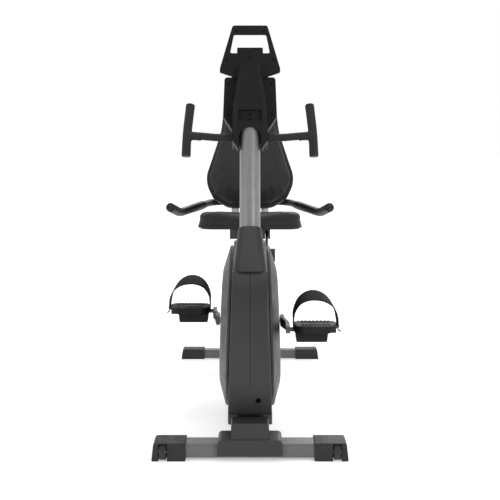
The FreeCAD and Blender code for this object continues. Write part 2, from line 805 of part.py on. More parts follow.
def brake():
    """The magnet yoke that swings over the flywheel's rim, and the servo that pulls it."""
    body = new_body("brake_arm", (0, 176, 450))
    arm = [(-11, -11, 9), (70, -15, 40), (150, -36, 4), (150, -8, 6), (70, 12, 60), (-11, 11, 9)]
    made = pad(body, sketch(body, "YZ_Plane", [arm], lift=-49), 28)
    cheek = [(62, 0), (150, -20), (144, -50, 6), (66, -32, 6)]
    pad(body, sketch(body, "YZ_Plane", [cheek], lift=-49), 28)
    slot = [(30, -60), (160, -60), (160, -24), (110, -10, 60), (70, -1, 60), (30, 0)]
    pocket(body, sketch(body, "YZ_Plane", [slot], lift=-44), 18)
    pocket(body, sketch(body, "YZ_Plane", [ring(0, 0, 5.2)], lift=-60), 60)
    node(body, "brake_arm")
    magnets = []
    for x in (-44, -28):
        for along in (76, 100, 124):
            low = (x, 176 + along - 8, 450 - 0.29 * (along - 66) - 29)
            magnets.append(box("magnet", low, (low[0] + 2, low[1] + 16, low[2] + 14)))
    node(group("brake_magnets", magnets), "brake_magnets")
    case = new_body("brake_servo", (20, 152, 405))
    pad(case, sketch(case, "YZ_Plane", [rectangle(-22, -25, 22, 25, 4)]), 26)
    pad(case, sketch(case, "YZ_Plane", [ring(8, 10, 9)], lift=26), 4)
    node(case, "brake_servo")


def crank_arm(label, side):
    """An arm that leans outwards from the axle to the pedal."""
    body = new_body(label, (0, D.crank_station, D.crank_height))
    reach = D.crank_long * -side
    tip = reach + 17 * -side
    heel = 22 * side
    outline = [(heel, -17, 15), (heel, 17, 15), (tip, 12, 11), (tip, -12, 11)]
    if side < 0:
        outline.reverse()
    x = 98
    arm = sketch(body, "YZ_Plane", [outline], lift=x if side > 0 else -x - 26)
    pad(body, arm, 26)
    middle = D.crank_long / 2
    inside = [(side * (x - 1), reach * 0.16), (side * (x + 14), reach * 0.62), (side * (x + 14), tip * 1.1),
              (side * (x - 1), tip * 1.1)]
    outside = [(side * (x + 12), reach * 0.22), (side * (x + 26.5), reach * 0.7),
               (side * (x + 29), reach * 0.7), (side * (x + 29), heel * 1.2), (side * (x + 12), heel * 1.2)]
    for wedge in (inside, outside):
        pocket(body, sketch(body, "XY_Plane", [wedge]), 100, both_ways=True)
    holes = [ring(0, 0, D.axle_radius), ring(reach, 0, D.spindle_radius)]
    pocket(body, sketch(body, "YZ_Plane", holes), 400, both_ways=True)
    return node(body, label)


def cranks():
    at = (0, D.crank_station, D.crank_height)
    end = 110.1
    axle = [(-end, 0), (end, 0), (end, D.axle_radius), (-end, D.axle_radius)]
    node(turned("crank_axle", at, axle), "crank_axle")
    drive_pulley()
    crank_arm("crank_arm_left", 1)
    crank_arm("crank_arm_right", -1)
    cap = turned("crank_cap", at, [(end, 0), (end + 3, 0), (end + 3, 8, 2), (end + 0.8, 12.5, 0.8), (end, 12.5)])
    cap_other = mirrored("crank_cap_other", cap)
    node(group("crank_caps", [cap, cap_other]), "crank_caps")
    spindles = []
    for side in (1, -1):
        station = D.crank_station - D.crank_long * side
        near, far = 112 * side, 264 * side
        shaft = [(near, 0), (far, 0), (far, D.spindle_radius), (near, D.spindle_radius)]
        if side < 0:
            shaft.reverse()
        spindles.append(turned("pedal_spindle", (0, station, D.crank_height), shaft))
    node(group("pedal_spindles", spindles), "pedal_spindles")


def pedal(side_name, side):
    """A wide plastic pedal with a weight below, so that it hangs the right way up."""
    station = D.crank_station - D.crank_long * side
    at = (D.pedal_middle * side, station, D.crank_height)
    body = new_body("pedal_" + side_name, at)
    deck = [(-66, -4, 3), (40, -4, 20), (66, 9, 7), (66, 19, 4), (-66, 19, 5)]
    weight = [(-63, -3), (-60, -34, 4), (35, -34, 4), (38, -3)]
    if side < 0:
        deck, weight = [[(-u, *rest) for u, *rest in reversed(loop)] for loop in (deck, weight)]
    pad(body, sketch(body, "XZ_Plane", [deck]), 104, both_ways=True)
    pad(body, sketch(body, "XZ_Plane", [weight]), 66, both_ways=True)
    pad(body, sketch(body, "YZ_Plane", [ring(0, 0, 11.5)]), 128, both_ways=True)
    bore = ring(0, 0, D.spindle_radius + D.running_gap)
    pocket(body, sketch(body, "YZ_Plane", [bore]), 400, both_ways=True)
    corners = [rectangle(-90, -60, 90, 60), rectangle(-66.1, -52, 66.1, 52, 30)]
    pocket(body, sketch(body, "XY_Plane", corners, lift=-5), 40)
    slots = [rectangle(-46, y, 46, y + 12, 4) for y in (-44, -24, 12, 32)]
    pocket(body, sketch(body, "XY_Plane", slots, lift=12), 40)
    grooves = [rectangle(-60 + 12 * i, 17.5, -56 + 12 * i, 24) for i in range(11)]
    pocket(body, sketch(body, "XZ_Plane", grooves), 200, both_ways=True)
    node(body, "pedal_" + side_name)

    strap = new_body("pedal_strap_" + side_name, at, (1, 0, 0), 0)
    outer = [(-69.5, 10, 2), (69.5, 10, 2), (69.5, 66, 60), (24, 121, 50), (-34, 121, 50), (-69.5, 66, 60)]
    inner = [(-66.3, 5), (66.3, 5), (66.3, 64.5, 57), (23, 117.6, 47), (-33, 117.6, 47),
             (-66.3, 64.5, 57)]
    if side < 0:
        outer, inner = [[(-u, *rest) for u, *rest in reversed(loop)] for loop in (outer, inner)]
    pad(strap, sketch(strap, "XZ_Plane", [outer]), 42, both_ways=True)
    pocket(strap, sketch(strap, "XZ_Plane", [inner]), 60, both_ways=True)
    holes = [ring(0, height, 2.4) for height in (36, 50, 64)]
    pocket(strap, sketch(strap, "YZ_Plane", holes, lift=50 * side), 60, forward=side > 0)
    node(strap, "pedal_strap_" + side_name)


# --- mast, handlebar and console ------------------------------------------------------------------

def mast():
    """The leaning oval tube, with a cross bore for the handlebar."""
    body = new_body("mast_tube", mast_point(0, 0, 0), (1, 0, 0), -D.mast_lean)
    wall = D.tube_wall
    half_wide, half_deep = D.mast_wide / 2, D.mast_deep / 2
    loops = [oval(half_wide, half_deep), oval(half_wide - wall, half_deep - wall, 0, 27)]
    pad(body, sketch(body, "XY_Plane", loops, lift=-170), 482)
    bar = rod("mast_bore", D.bar_radius + 0.1, (-60, D.bar_station, D.bar_height),
              (60, D.bar_station, D.bar_height))
    return node(boolean("Cut", "mast", body, bar), "mast")


BAR_REACH = 200


def bar_path():
    """The handlebar's line from end to end, rising a little outside the clamps."""
    station, height = plain(D.bar_station), plain(D.bar_height)
    side = [(BAR_REACH, height + 8), (150, height + 4), (105, height)]
    points = [here(x, station, z) for x, z in side] + [here(-x, station, z) for x, z in reversed(side)]
    return points, [300, 300, 300, 300]


def upright_path(side):
    """The line of one of the handlebar's uprights, leaning back towards the rider at the top."""
    points = [here(202.5 * side, 386, 866), here(200.5 * side, 400, 930), here(191 * side, 444, 1021)]
    return points, [220]


def handlebar():
    """The cross bar and its two uprights, one welded hollow tube."""
    points, radii = bar_path()
    outer = swept(route(points, radii), plain(D.bar_radius) - 1)
    middle = route([here(-66, D.bar_station, D.bar_height), here(66, D.bar_station, D.bar_height)], [])
    outer = outer.fuse(swept(middle, plain(D.bar_radius)))
    for side in (1, -1):
        clamp = route([here(57 * side, D.bar_station, D.bar_height),
                       here(75 * side, D.bar_station, D.bar_height)], [])
        outer = outer.fuse(swept(clamp, 16))
    bores = [swept(route(points, radii), 9)]
    for side in (1, -1):
        line, bends = upright_path(side)
        outer = outer.fuse(swept(route(line, bends), 11))
        bores.append(swept(route(line, bends), 8.5))
    tube = doc.addObject("Part::Feature", "handlebar")
    tube.Shape = outer.cut(bores).removeSplitter()
    node(tube, "handlebar")

    grips = []
    caps = []
    for side in (1, -1):
        line, bends = upright_path(side)
        path = route(line, bends)
        neck = route([here(152 * side, D.bar_station, D.bar_height + 4.1),
                      here(195 * side, D.bar_station, D.bar_height + 7.5)], [])
        sleeve = swept(path, plain(D.grip_radius)).fuse(swept(neck, 14))
        grip = doc.addObject("Part::Feature", "grip")
        bar = swept(route(points, radii), plain(D.bar_radius) - 1)
        grip.Shape = sleeve.cut([swept(path, 11), bar])
        grips.append(grip)
        for at, before in ((line[0], line[1]), (line[-1], line[-2])):
            heading = (at - before).normalize()
            cap = doc.addObject("Part::Feature", "grip_end")
            disc = Part.makeCylinder(plain(D.grip_radius), 5, at, heading)
            rim = [edge for edge in disc.Edges if edge.isClosed()
                   and (edge.BoundBox.Center - at).dot(heading) > 4]
            cap.Shape = disc.makeFillet(3, rim)
            caps.append(cap)
    node(group("handlebar_grips", grips), "handlebar_grips")
    node(group("handlebar_end_caps", caps), "handlebar_end_caps")


def console_body(label):
    return new_body(label, (0, D.console_station, D.console_height), (1, 0, 0), -D.console_lean)


CONSOLE_OUTLINE = [(-58.8, -98, 8), (58.8, -98, 8), (85.9, -56, 14), (81.6, 73, 10), (-81.6, 73, 10),
                   (-85.9, -56, 14)]
KEY_PLACES = (("key_start", 22), ("key_mode", -22))
KEY_HEIGHT = -62


def console():
    """The console's two shells, its board, its lens and its two keys."""
    wall = plain(D.sheet_wall)
    back = console_body("console_housing")
    shell = sketch(back, "XZ_Plane", [CONSOLE_OUTLINE], lift=12)
    pad(back, shell, 34).Reversed = True
    pocket(back, sketch(back, "XZ_Plane", [inset(CONSOLE_OUTLINE, wall)], lift=12 - wall), 60,
           forward=False)
    node(back, "console_housing")

    front = console_body("console_bezel")
    pad(front, sketch(front, "XZ_Plane", [CONSOLE_OUTLINE], lift=-22), 10).Reversed = True
    hollow = sketch(front, "XZ_Plane", [inset(CONSOLE_OUTLINE, wall)], lift=-22)
    pocket(front, hollow, 7, forward=False)
    window = rectangle(-62, -30, 62, 58, 6)
    openings = [window] + [ring(x, KEY_HEIGHT, 9) for name, x in KEY_PLACES]
    pocket(front, sketch(front, "XZ_Plane", openings), 200, both_ways=True)
    node(front, "console_bezel")

    lens = console_body("display_lens")
    pad(lens, sketch(lens, "XZ_Plane", [inset(window, 0.2)], lift=-27.5), 3).Reversed = True
    node(lens, "display_lens")

    board = console_body("console_board")
    pad(board, sketch(board, "XZ_Plane", [rectangle(-62, -82, 62, 62, 3)], lift=-12), 1.6).Reversed = True
    pad(board, sketch(board, "XZ_Plane", [rectangle(-58, -26, 58, 54)], lift=-13.6), 11).Reversed = True
    pocket(board, sketch(board, "XZ_Plane", [rectangle(-12, -30, 12, 12)], lift=-20), 60, forward=False)
    node(board, "console_board")

    for name, x in KEY_PLACES:
        key = console_body(name)
        pad(key, sketch(key, "XZ_Plane", [ring(x, KEY_HEIGHT, 8.5)], lift=-27), 8).Reversed = True
        pad(key, sketch(key, "XZ_Plane", [ring(x, KEY_HEIGHT, 3)], lift=-16), 12).Reversed = True
        node(key, name)


def head_cover():
    """The two shells that close the mast's head below and in front of the console."""
    front = console_body("head_cover_front_shell")
    outline = [(-38, -176), (38, -176), (56, -146), (54, -36), (31.3, 105), (-31.3, 105), (-54, -36),
               (-56, -146)]
    solid = pad(front, sketch(front, "XZ_Plane", [outline], lift=18.5), 43.5)
    edge_trim(front, "Chamfer", solid, 13, lambda span: span.YMax < -61.9 and span.ZLength > 100)
    for narrower, depth in ((0, 24), (12, 40.5)):
        inner = [(narrower - 35, -181), (35 - narrower, -181), (52 - narrower, -147), (50.5 - narrower, -36),
                 (28 - narrower, 101), (narrower - 28, 101), (narrower - 50.5, -36), (narrower - 52, -147)]
        pocket(front, sketch(front, "XZ_Plane", [inner], lift=18.5), depth)
    arch = [(-34, -181), (34, -181), (34, -106, 33), (-34, -106, 33)]
    pocket(front, sketch(front, "XZ_Plane", [arch], lift=17), 60)
    pad(front, sketch(front, "XZ_Plane", [rectangle(-40, -89, 40, -47)], lift=49), 10.5)
    recess = rectangle(-37, -86, 37, -50, 3)
    pocket(front, sketch(front, "XZ_Plane", [recess], lift=52), 20)
    node(notched(front, "head_cover_front"), "head_cover_front")

    rear = console_body("head_cover_rear_shell")
    outline = rectangle(-56, -150, 56, -99.5, 6)
    pad(rear, sketch(rear, "XZ_Plane", [outline], lift=18), 74).Reversed = True
    mouth = rectangle(-33.5, -18.5, 33.5, 52)
    pocket(rear, sketch(rear, "XY_Plane", [mouth], lift=-102.5), 90, forward=False)
    node(notched(rear, "head_cover_rear"), "head_cover_rear")


def notched(shell, label):
    """Cut the handlebar's way through a head cover."""
    bar = rod(label + "_way", D.bar_radius + 0.5, (-90, D.bar_station, D.bar_height),
              (90, D.bar_station, D.bar_height))
    return boolean("Cut", label, shell, bar)


def tablet_rack():
    """The upright tray for a tablet, with an open window and a ledge on the rider's side."""
    body = console_body("tablet_rack")
    outline = [(-46, 70, 4), (46, 70, 4), (96.8, 88, 6), (96.8, 101, 8), (56, 246, 9), (-56, 246, 9),
               (-96.8, 101, 8), (-96.8, 88, 6)]
    pad(body, sketch(body, "XZ_Plane", [outline], lift=12), 6)
    window = [(-64, 152, 5), (-41.5, 152, 2), (-41.5, 171, 4), (41.5, 171, 4), (41.5, 152, 2), (64, 152, 5),
              (52, 215, 6), (-52, 215, 6)]
    pocket(body, sketch(body, "XZ_Plane", [window]), 200, both_ways=True)
    ledge = rectangle(-58, 77, 58, 82)
    pad(body, sketch(body, "XZ_Plane", [ledge], lift=14), 46).Reversed = True
    lip = rectangle(-58, 77, 58, 91, 2)
    pad(body, sketch(body, "XZ_Plane", [lip], lift=-28), 4).Reversed = True
    return node(body, "tablet_rack")


def cover_screws():
    """The screw heads on the backs of the console, rack and head cover."""
    spots = []
    for side in (1, -1):
        spots += [(44 * side, 227, 18), (75 * side, 131, 18), (69 * side, 51, 12), (70 * side, -50, 12)]
    spots += [(0, 138, 18), (0, -62, 52), (0, -78, 52)]
    screws = console_body("cover_screws")
    for across, up, lift in spots:
        pad(screws, sketch(screws, "XZ_Plane", [ring(across, up, 3.4)], lift=lift), 1.2)
    return node(screws, "cover_screws")


# --- seat -----------------------------------------------------------------------------------------

def rail_point(across, along, up):
    """A point in the rail's own sloping axes, from the front of its upper face."""
    start = D.rail_top - (D.rail_top_station - D.rail_station) * tangent(D.rail_slope)
    return (across,
            D.rail_station + along * cosine(D.rail_slope) - up * sine(D.rail_slope),
            start + along * sine(D.rail_slope) + up * cosine(D.rail_slope))


def rail_block(label, low, high):
    extent = [b - a for a, b in zip(low, high)]
    return block(label, rail_point(*low), extent, (1, 0, 0), D.rail_slope)


def seat_rail():
    half, tall, wall = D.rail_wide / 2, D.rail_tall, D.tube_wall
    body = new_body("seat_rail", rail_point(0, 0, 0), (1, 0, 0), D.rail_slope)
    outer = rectangle(-half, -tall, half, 0, 4)
    inner = rectangle(wall - half, wall - tall, half - wall, -wall, 2)
    pad(body, sketch(body, "XZ_Plane", [outer, inner]), D.rail_long).Reversed = True
    grooves = [rectangle(side * half - 1.2, -tall / 2 - 6, side * half + 1.2, -tall / 2 + 6)
               for side in (1, -1)]
    pocket(body, sketch(body, "XZ_Plane", grooves, lift=5), D.rail_long + 10, forward=False)
    node(body, "seat_rail")
    caps = [rail_block("rail_cap", (-half, start, -tall), (half, start + 4, 0))
            for start in (-4, D.rail_long)]
    node(group("rail_end_caps", caps), "rail_end_caps")


def rail_posts():
    """The two welded tubes that carry the rail above the beam."""
    posts = []
    above = rail_block("above_rail_foot", (-90, -200, -plain(D.rail_tall)), (90, 900, 120))
    below = box("below_posts", (-90, 700, 0), (90, 1500, D.beam_top))
    for station, lean in ((838, -6), (1385, 7)):
        solid = block("post_outer", (-30, station, 60), (60, 44, 560), (1, 0, 0), lean)
        hollow = block("post_inner", (-27.5, station + 2.5, 50), (55, 39, 600), (1, 0, 0), lean)
        tube = boolean("Cut", "post_tube", solid, hollow)
        trimmed = boolean("Cut", "post_top_trimmed", tube, above)
        posts.append(boolean("Cut", "rail_post", trimmed, below))
    node(group("rail_posts", posts), "rail_posts")


LEVER_PIVOT = (968, 560)


def seat_carriage():
    """The saddle that slides along the rail, with the lever's bore across its left channel."""
    gap = 0.4
    half = D.rail_wide / 2
    body = joined_up("carriage_solid", [
        box("carriage_top", (-74, 930, 541), (74, 1170, D.seat_base)),
        box("carriage_skirt", (-half - 9, 940, 493), (half + 9, 1160, 560)),
    ])
    ways = [rail_block("rail_way", (-half - gap, 0, -80), (half + gap, 700, gap)),
            rod("pad_well", 9, (0, 1050, 500), (0, 1050, D.seat_base - 4)),
            rod("lever_bore", 4.3, (48, *LEVER_PIVOT), (75, *LEVER_PIVOT)),
            box("lever_mouth", (55.7, 925, 530), (67.3, 940, D.seat_base - 3))]
    for low, high in ((55.7, 67.3), (-71, -52)):
        ways.append(box("side_channel", (low, 933, 530), (high, 1167, D.seat_base - 3)))
    for near, far in ((936, 1035), (1065, 1164)):
        ways.append(box("middle_channel", (-36, near, 500), (36, far, D.seat_base - 3)))
    return node(boolean("Cut", "seat_carriage", body, joined_up("carriage_ways", ways)), "seat_carriage")


def seat_lever():
    """The lever in the carriage's left channel, its paddle below, and the pad that it presses."""
    body = new_body("seat_lever", (0, *LEVER_PIVOT))
    arm = [(-10, -6, 5), (9, -8, 6), (8, 8, 6), (-7, 8, 6), (-84, -44, 6), (-84, -62, 4), (-66, -52, 6)]
    pad(body, sketch(body, "YZ_Plane", [arm], lift=57), 9)
    paddle = [(-84, -51, 5), (-84, -99, 6), (-66, -99, 6), (-66, -51, 5)]
    solid = pad(body, sketch(body, "YZ_Plane", [paddle], lift=57), 35)
    edge_trim(body, "Fillet", solid, 3, lambda span: span.XMin > 91.9)
    pad(body, sketch(body, "YZ_Plane", [ring(0, 0, 4)], lift=50), 23.5)
    node(body, "seat_lever")
    clamp = rod("lock_pad", 8.6, (0, 1050, 536.6), (0, 1050, 562))
    node(clamp, "lock_pad")


def seat_shell():
    """The seat's pan and its cushion, the cushion as a plain closed solid."""
    half = D.seat_half
    front = D.front_axis_y + D.seat_front
    back = front + D.seat_deep
    pan = doc.addObject("PartDesign::Body", "seat_pan")
    bind(pan, ".Placement.Base.z", D.seat_base)
    plan = rectangle(-half + 10, front + 8, half - 10, back - 8, 45)
    pad(pan, sketch(pan, "XY_Plane", [plan]), 4)
    node(pan, "seat_pan")
    cushion = doc.addObject("PartDesign::Body", "seat_cushion")
    bind(cushion, ".Placement.Base.z", D.seat_base + 4.3)
    thick = D.seat_thick
    pad(cushion, sketch(cushion, "XY_Plane", [rectangle(-half, front, half, back, 52)]), thick)
    over = rectangle(-half - 20, front - 20, half + 20, back + 20)
    lift = thick + front * tangent(D.seat_wedge)
    solid = pocket(cushion, sketch(cushion, "XY_Plane", [over], lift, -D.seat_wedge), 60)
    edge_trim(cushion, "Fillet", solid, 20, lambda span: span.ZMin > 15)
    node(cushion, "seat_cushion")


def back_body(label):
    return new_body(label, (0, D.back_station, D.back_height), (1, 0, 0), -D.back_lean)


BACK_OUTLINE = [(-88, 21, 60), (88, 21, 60), (148, 58, 60), (183, 135, 110), (118, 340, 300), (104, 478, 55),
                (-104, 478, 55), (-118, 340, 300), (-183, 135, 110), (-148, 58, 60)]


def backrest():
    """The pear-shaped back: a plain closed cushion in front of a hollow shell."""
    cushion = back_body("back_cushion")
    pad(cushion, sketch(cushion, "XZ_Plane", [inset(BACK_OUTLINE, 8)]), 50).Reversed = True
    node(cushion, "back_cushion")
    shell = back_body("back_shell")
    pad(shell, sketch(shell, "XZ_Plane", [BACK_OUTLINE], lift=-50.3), 16).Reversed = True
    rim = inset(BACK_OUTLINE, plain(D.sheet_wall))
    hollow = pocket(shell, sketch(shell, "XZ_Plane", [rim], lift=-50.3), 13, forward=False)
    node(shell, "back_shell")
    return hollow


def seat_frame():
    """Two bent tubes from the carriage up behind the back, with their lugs."""
    pieces = []
    for side in (1, -1):
        points = [here(60 * side, 1171, 559), here(60 * side, 1368, 559), here(60 * side, 1478, 861)]
        tube = doc.addObject("Part::Feature", "seat_frame_tube")
        path = route(points, [70])
        tube.Shape = swept(path, 15).cut(swept(path, 12.5))
        lug = back_block("back_lug", (60 * side - 16, 66.3, 130), (60 * side + 16, 71.5, 190))
        clamp = box("handle_lug", (60 * side - 12, 1402, 631),
                    (60 * side + 12, 1437.9 - D.side_tube_radius, 651))
        pieces += [tube, lug, clamp]
    cross = rod("seat_cross_tube", 9, (-50, 1330, 566), (50, 1330, 566))
    return node(joined_up("seat_frame", pieces + [cross]), "seat_frame")


def back_block(label, low, high):
    extent = [b - a for a, b in zip(low, high)]
    corner = (low[0],
              D.back_station + low[1] * cosine(D.back_lean) + low[2] * sine(D.back_lean),
              D.back_height - low[1] * sine(D.back_lean) + low[2] * cosine(D.back_lean))
    return block(label, corner, extent, (1, 0, 0), -D.back_lean)


def side_handles():
    """The long handlebar behind the back, whose ends come forward beside the seat."""
    radius = plain(D.side_tube_radius)
    half = [(294.5, 975, 653.5), (268, 1112, 623), (153, 1438, 641)]
    points = [here(*spot) for spot in half] + [here(-x, s, z) for x, s, z in reversed(half)]
    path = route(points, [60, 80, 80, 60])
    tube = doc.addObject("Part::Feature", "seat_handlebar")
    tube.Shape = swept(path, radius).cut(swept(path, radius - 2))
    node(tube, "seat_handlebar")
    grips = []
    for side in (1, -1):
        start = here(295.5 * side, 970, 654.6)
        end = here(268 * side, 1112, 623)
        line = route([start, start + (end - start) * 0.8], [])
        sleeve = swept(line, plain(D.side_grip_radius))
        grip = doc.addObject("Part::Feature", "side_grip")
        grip.Shape = sleeve.cut(swept(path, radius))
        grips.append(grip)
    node(group("seat_grips", grips), "seat_grips")


def power_inlet():
    jack = new_body("power_jack", (JACK_X, 0, JACK_HEIGHT))
    barrel = sketch(jack, "XZ_Plane", [ring(0, 0, 5.5)], lift=-21.5)
    pad(jack, barrel, 22).Reversed = True
    flange = sketch(jack, "XZ_Plane", [ring(0, 0, 7.5)], lift=-21.5)
    pad(jack, flange, 2)
    pocket(jack, sketch(jack, "XZ_Plane", [ring(0, 0, 3)], lift=40), 74, forward=False)
    return node(jack, "power_jack")


floor_frame()
stabiliser_cover()
casing()
drive_frame()
drive_bearings()
flywheel()
drive_belt()
brake()
cranks()
for name, side in (("left", 1), ("right", -1)):
    pedal(name, side)
mast()
handlebar()
console()
head_cover()
tablet_rack()
cover_screws()
seat_rail()
rail_posts()
seat_carriage()
seat_lever()
seat_shell()
backrest()
seat_frame()
side_handles()
power_inlet()


# --- writing --------------------------------------------------------------------------------------

def write_steps():
    doc.recompute()
    for thing in doc.Objects:
        if "Invalid" in thing.State or "Error" in thing.State:
            raise ValueError("%s failed: %s" % (thing.Label, thing.State))
    os.makedirs("parts", exist_ok=True)
    for piece in NODES:
        if piece.Shape.isNull() or not piece.Shape.isValid():
            raise ValueError("%s has no valid shape" % piece.Label)
        piece.Shape.exportStep("parts/%s.step" % piece.Label)
    print(len(NODES), "nodes written")


write_steps()
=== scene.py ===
"""Looks of a recumbent exercise bike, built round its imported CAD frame."""

import json
import math

import bmesh
import bpy
import numpy as np
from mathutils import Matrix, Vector


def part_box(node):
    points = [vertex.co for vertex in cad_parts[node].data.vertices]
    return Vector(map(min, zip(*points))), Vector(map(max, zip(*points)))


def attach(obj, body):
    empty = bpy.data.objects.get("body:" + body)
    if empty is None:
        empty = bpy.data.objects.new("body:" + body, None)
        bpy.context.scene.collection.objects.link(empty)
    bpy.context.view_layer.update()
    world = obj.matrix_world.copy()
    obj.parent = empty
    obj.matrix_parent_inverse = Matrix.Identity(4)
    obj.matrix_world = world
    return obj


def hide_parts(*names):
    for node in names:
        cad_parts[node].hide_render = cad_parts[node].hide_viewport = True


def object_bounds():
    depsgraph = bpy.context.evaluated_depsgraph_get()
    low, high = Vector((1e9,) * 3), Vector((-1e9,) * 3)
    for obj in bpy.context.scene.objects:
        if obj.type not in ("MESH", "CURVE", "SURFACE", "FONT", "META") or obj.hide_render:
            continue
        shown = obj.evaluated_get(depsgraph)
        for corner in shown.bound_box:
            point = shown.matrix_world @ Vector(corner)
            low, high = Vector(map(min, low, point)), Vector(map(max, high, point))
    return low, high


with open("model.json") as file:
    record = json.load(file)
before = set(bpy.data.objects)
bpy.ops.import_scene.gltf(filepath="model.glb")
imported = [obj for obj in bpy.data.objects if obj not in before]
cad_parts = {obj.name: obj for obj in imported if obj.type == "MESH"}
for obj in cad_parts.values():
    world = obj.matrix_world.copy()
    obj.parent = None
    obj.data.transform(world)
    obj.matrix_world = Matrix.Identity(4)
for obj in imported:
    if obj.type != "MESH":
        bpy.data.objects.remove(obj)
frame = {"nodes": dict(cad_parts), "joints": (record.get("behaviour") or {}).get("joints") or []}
CAD_BOX = [list(corner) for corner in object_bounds()]
NODES = frame["nodes"]
MM = 0.001

LENS_MM, SENSOR_MM = 82.1, 36
CAMERA_AHEAD, CAMERA_HEIGHT = 3.24, 0.99  # metres ahead of the front stabiliser, and off the floor
CAMERA_TILT = math.radians(83.3)  # up from straight down
FLOOR_RADIUS = 25

BACK_LEAN = math.radians(20)
CONSOLE_LEAN = math.radians(17)

FOAM_GRID = 0.005  # size of the cushions' remeshed faces
CLOTH_FRAMES = 20
PIPING_STEP, STITCH_STEP = 0.006, 0.0062
# One stitch, as parts of the way to the next one, lift off the vinyl and radius of the thread.
STITCH = ((0.0, -1, 0.0002), (0.14, 1, 0.00045), (0.5, 2, 0.0005),
          (0.58, 1, 0.00045), (0.7, -1, 0.0002))
STITCH_LIFT = 0.0003

# A pedal strap seen from the front: millimetres outward and up from the pedal's axle.
STRAP_LINE = ((-68, 1), (-68.2, 30), (-66, 58), (-52, 87), (-30, 103), (-5, 108), (22, 103),
              (46, 86), (62, 58), (67.5, 30), (68.4, 9), (72.5, -1), (79, -6))
STRAP_ROWS, STRAP_COLUMNS = 97, 15
STRAP_HOLES = (22, 33, 44, 55)
STRAP_TIP = 0.92  # where the pointed end starts, as a part of the strap's length
STRAP_LEAN = math.radians(28)

# Centre lines of the sleeves: metres sideways, behind the front stabiliser and up.
BAR_GRIP_LINE = ((0.2025, 0.386, 0.866), (0.2005, 0.400, 0.930), (0.191, 0.444, 1.021))
SEAT_GRIP_LINE = ((0.2955, 0.970, 0.6546), (0.268, 1.112, 0.623), (0.184, 1.3505, 0.6361))
# The seat grip's end cap: millimetres out along the handle, and radius.
END_CAP_RINGS = ((-1, 13.5), (1.2, 13.3), (2.2, 11.8), (2.6, 6), (2.0, 3.5), (0.8, 3))

SEAM_FOOT, SEAM_HEAD, SEAM_POINTS = 0.125, 0.53, 120


def front_axis():
    """Where the front stabiliser stands along Y."""
    low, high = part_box("front_stabiliser")
    return (low.y + high.y) / 2


# --- camera, floor and light ----------------------------------------------------------------------

def make_camera():
    """The camera looks along +Y from in front of the bike and a little down on it."""
    data = bpy.data.cameras.new("camera")
    data.lens = LENS_MM
    data.sensor_width = SENSOR_MM
    camera = bpy.data.objects.new("camera", data)
    camera.location = (0, front_axis() - CAMERA_AHEAD, CAMERA_HEIGHT)
    camera.rotation_euler = (CAMERA_TILT, 0, 0)
    bpy.context.collection.objects.link(camera)
    bpy.context.scene.camera = camera


def make_light(name, place, target, size, power):
    data = bpy.data.lights.new(name, "AREA")
    data.shape = "RECTANGLE"
    data.size, data.size_y = size
    data.energy = power
    light = bpy.data.objects.new(name, data)
    light.location = place
    aim = Vector(target) - Vector(place)
    light.rotation_euler = aim.to_track_quat("-Z", "Y").to_euler()
    bpy.context.collection.objects.link(light)


def make_stage():
    """A wide pale floor under soft studio light, which also glows as painted light: weakly near the
    bike, a painted shade round it, and more strongly away from it.
    """
    shape = bpy.data.meshes.new("floor")
    draft = bmesh.new()
    bmesh.ops.create_circle(draft, cap_ends=True, radius=FLOOR_RADIUS, segments=96)
    draft.to_mesh(shape)
    draft.free()
    floor = bpy.data.objects.new("floor", shape)
    floor.location.z = CAD_BOX[0][2]
    floor_glow = Look("glowing_floor", Base_Color=(0.86, 0.86, 0.86, 1), Roughness=0.9,
                 Specular_IOR_Level=0.1, Emission_Color=(1, 1, 1, 1))
    # Painted light: the floor glows, less within about a metre of the bike, as painted shade round
    # it, and more further off.
    away = floor_glow.add("VectorMath", [(0, floor_glow.spot())], operation="LENGTH").outputs["Value"]
    floor_glow.give("Emission Strength", floor_glow.ramp(away, 0.4, 0.72, 1.2, 6.0))
    shape.materials.append(floor_glow.material)
    bpy.context.collection.objects.link(floor)

    world = bpy.data.worlds.new("studio")
    bpy.context.scene.world = world
    world.use_nodes = True
    nodes, links = world.node_tree.nodes, world.node_tree.links
    place = nodes.new("ShaderNodeTexCoord")
    split = nodes.new("ShaderNodeSeparateXYZ")
    links.new(place.outputs["Generated"], split.inputs[0])
    fade = nodes.new("ShaderNodeMapRange")
    fade.interpolation_type = "SMOOTHSTEP"
    for socket, value in (("From Min", 0.2), ("From Max", 0.6), ("To Min", 1.0), ("To Max", 0.35)):
        fade.inputs[socket].default_value = value
    links.new(split.outputs["Z"], fade.inputs["Value"])
    sky = nodes["Background"]
    links.new(fade.outputs[0], sky.inputs["Strength"])
    sky.inputs["Color"].default_value = (1, 1, 1, 1)

    make_light("key", (2.4, -3.4, 2.3), (0, -0.3, 0.7), (1.0, 1.8), 70)
    make_light("fill", (-2.8, -2.6, 1.8), (0, -0.3, 0.6), (1.6, 1.8), 30)
    make_light("top", (0, 0.2, 3.6), (0, 0.1, 0), (3.0, 3.0), 60)
    make_light("back", (0.6, 3.6, 2.4), (0, 0, 0.6), (2.4, 1.6), 50)


# --- materials ------------------------------------------------------------------------------------

